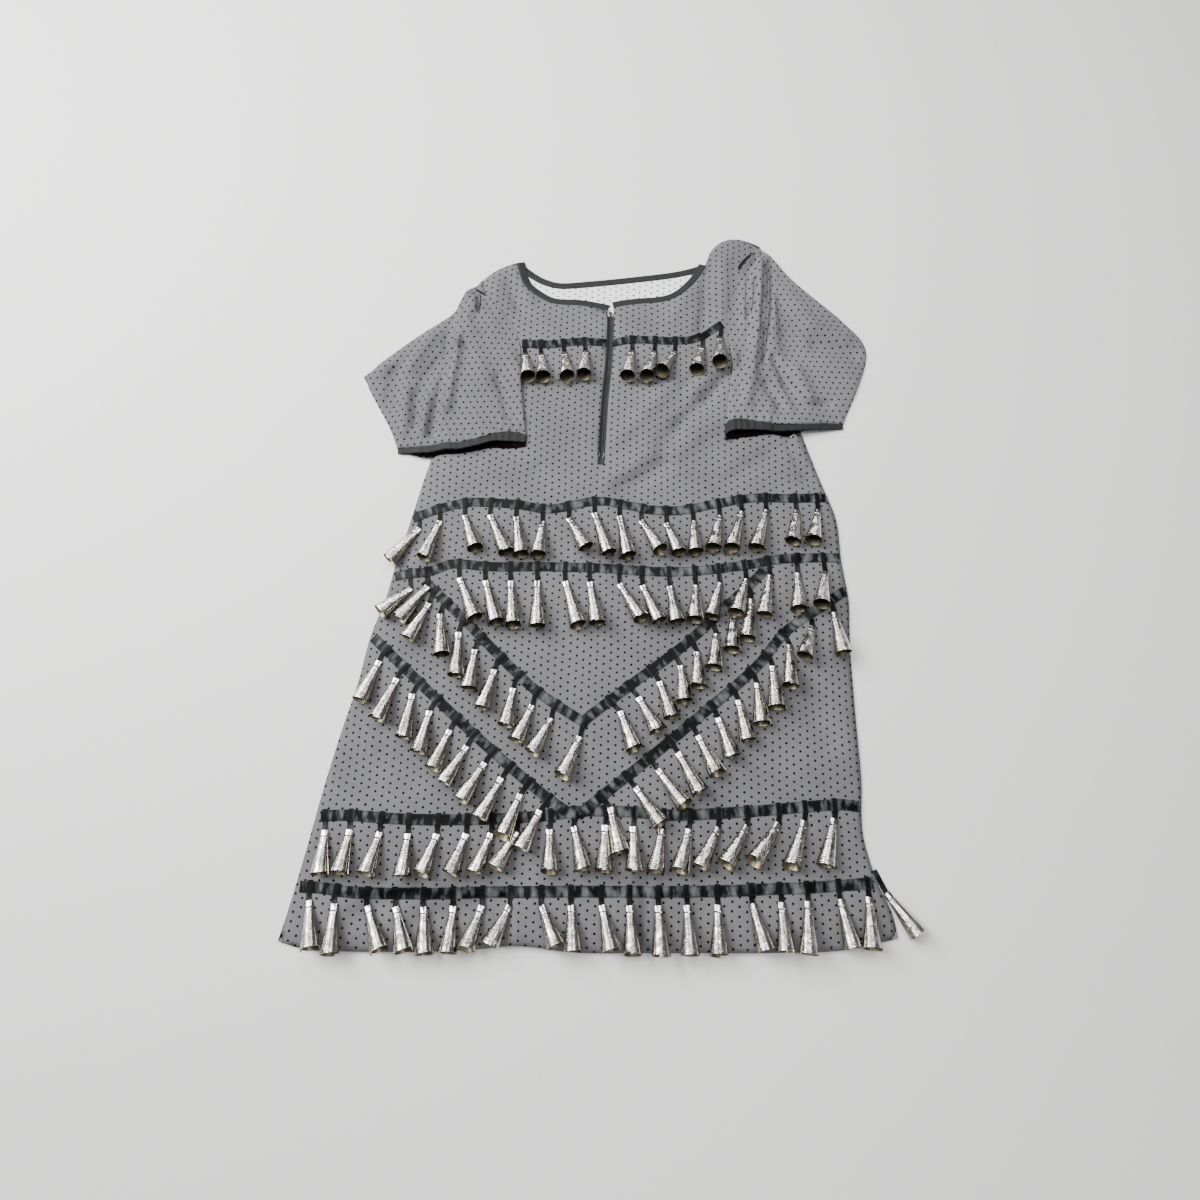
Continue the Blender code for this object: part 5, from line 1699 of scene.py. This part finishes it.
def hanger_group(material):
    """A flat ribbon along each chain of edges."""
    group, given, sockets = new_group("hangers", {"Width": HANGER_WIDTH, "Thick": HANGER_THICK})
    curve = add(group, "GeometryNodeMeshToCurve", {"Mesh": given})
    upright = add(group, "GeometryNodeSetCurveNormal", {"Curve": curve}, mode="Z_UP")
    spaced = add(group, "GeometryNodeResampleCurve", {
        "Curve": upright, "Count": HANGER_STATIONS})
    section = add(group, "GeometryNodeCurvePrimitiveQuadrilateral", {
        "Width": given.outputs["Width"], "Height": given.outputs["Thick"]})
    swept = add(group, "GeometryNodeCurveToMesh", {
        "Curve": spaced, "Profile Curve": section, "Fill Caps": True})
    finish_group(group, swept, material)
    return group, sockets


hanger_tree, hanger_sockets = hanger_group(hanger_satin)
hangers = lines_piece("hangers", [hanger_line(*cone) for cone in all_cones])
grown(hangers, hanger_tree, hanger_sockets).data.set_sharp_from_angle(angle=SHARP_EDGE)
hand_over(hangers, "satin")
print("faces of the hangers:", len(hangers.data.polygons))


# %% [markdown]
# ## Cuffs
# Each sleeve ends in the same binding, sewn on while the sleeve was gathered, so that it
# ripples along its normals.  The upper and the lower side of the cuff are of different
# widths from place to place, as two tables say.  Inside, the binding is folded under,
# and its dark colour there is painted darker still, nearly black: a painted shade in the
# sleeve's mouth.

# %% Cuffs and gathers
CUFF_RIPPLE = 0.8 * MM
UPPER_REACH = 6.7
LOWER_REACH = 11.7
MOUTH_FACES = 0.5
CUFF_PAST = 0.8
CUFF_FACES_UP = 0.3
STEP_INSIDE = 0.3 * MM
LOOK_BACK = 1.0
UPPER_FROM = 0.35
UPPER_BLEND = 0.3
LOWER_ON_CLOTH = (0.3, 1.3)
#              x   how much wider, mm
LEFT_UPPER = ((-290, 1.0), (-258, 1.5), (-203, 2.5), (-165, 2.5), (-150, 4.0), (-136, 7.0),
              (-118, 6.0), (-111, 3.0))
LEFT_LOWER = ((-290, 0.0), (-270, 1.0), (-258, 3.0), (-230, 1.0), (-203, 0.0), (-165, 2.0),
              (-150, 6.0), (-134, 10.0), (-120, 9.0), (-111, 3.0))
RIGHT_UPPER = ((161, 8.0), (187, 9.0), (201, 6.0), (214, 4.5), (251, 2.0), (276, 1.0),
               (300, 3.0), (325, 1.0))
RIGHT_LOWER = ((161, 8.0), (166, 11.0), (177, 13.0), (192, 10.0), (204, 6.0), (214, 2.5),
               (228, 0.5), (243, 3.5), (256, 0.0), (268, -4.0), (276, -6.0), (330, -6.0))

# The binding inside the mouth: its own dark colour with painted shade, brown-black and
# without shine.
cuff_inside_shade = plain_material(
    "binding folded under, with painted shade", "#0a0404", 0.9, specular=0.05)[0]


def faces_inside(cage, cuff_line):
    """Faces that look into the tube, and the narrow ones at the lower side's mouth."""
    tree = BVHTree.FromBMesh(cage)
    inside = []
    for face in cage.faces:
        if abs(face.normal.z) > CUFF_FACES_UP:
            start = face.calc_center_median() + STEP_INSIDE * face.normal
            if tree.ray_cast(start, -DOWN * math.copysign(1.0, face.normal.z))[0] is not None:
                inside.append(face)
        elif min(distance_to_line(cuff_line, *(corner.co / MM).xy)
                 for corner in face.verts) > UPPER_REACH + MOUTH_FACES:
            inside.append(face)
    return inside


def cuff_piece(node, cuff_line, mouth, upper, lower, lifts):
    """The binding of a mouth, which follows its sleeve and widens as the tables say."""
    piece = cloth_shell(node, node + "_binding", lambda cage, rim: faces_inside(cage, cuff_line),
                        (binding_cotton, cuff_inside_shade), 3)
    tree = BVHTree.FromObject(piece, bpy.context.evaluated_depsgraph_get())
    places = []
    for vertex in piece.data.vertices:
        ripple = max(0.0, gathers(*(vertex.co / MM).xy)) * CUFF_RIPPLE
        x, y, z = (vertex.co + vertex.normal * ripple) / MM
        past = distance_to_line(cuff_line, x, y)
        beside = (x * MM, (y + past - LOOK_BACK) * MM)
        top, bottom = top_at(tree, *beside), bottom_at(tree, *beside)
        share = 0.0
        if top is not None and bottom is not None and past < UPPER_REACH + CUFF_PAST:
            share = (z - bottom / MM) / max((top - bottom) / MM, 1.0)
        is_upper = smooth_step((share - UPPER_FROM) / UPPER_BLEND)
        wider = blend(graded(lower, x) * smooth_step(past / LOWER_REACH),
                      graded(upper, x) * smooth_step(past / UPPER_REACH), is_upper)
        y += graded(mouth, x) - wider
        z += soft_lines(lifts, x, y)
        if is_upper < 0.5:
            z = max(z, front_height(x * MM, y * MM) / MM + LOWER_ON_CLOTH[vertex.normal.z > 0.0])
        places.append((x * MM, y * MM, max(z * MM, LOWEST)))
    move_to(piece, places)
    return hand_over(piece, "binding", node)


cuffs = [
    cuff_piece("cuff_left", LEFT_CUFF_LINE, LEFT_MOUTH, LEFT_UPPER, LEFT_LOWER, LEFT_LIFTS),
    cuff_piece("cuff_right", RIGHT_CUFF_LINE, RIGHT_MOUTH, RIGHT_UPPER, RIGHT_LOWER, RIGHT_LIFTS)]
print("faces of the cuffs:", [len(piece.data.polygons) for piece in cuffs])


# %% [markdown]
# Last, the cloths and the ribbons are set to ride on the dress and stand for their solids,
# which are hidden.  The bindings, ribbons and cones go with the panel that they are sewn
# to.

# %% Hand over the cloths
hand_over(front, "cotton", "front")
hand_over(back, "cotton", "back")
hand_over(sleeve_left, "cotton", "sleeve_left")
hand_over(sleeve_right, "cotton", "sleeve_right")
for row, piece in ribbons.items():
    hand_over(piece, "satin", "ribbon_" + row)
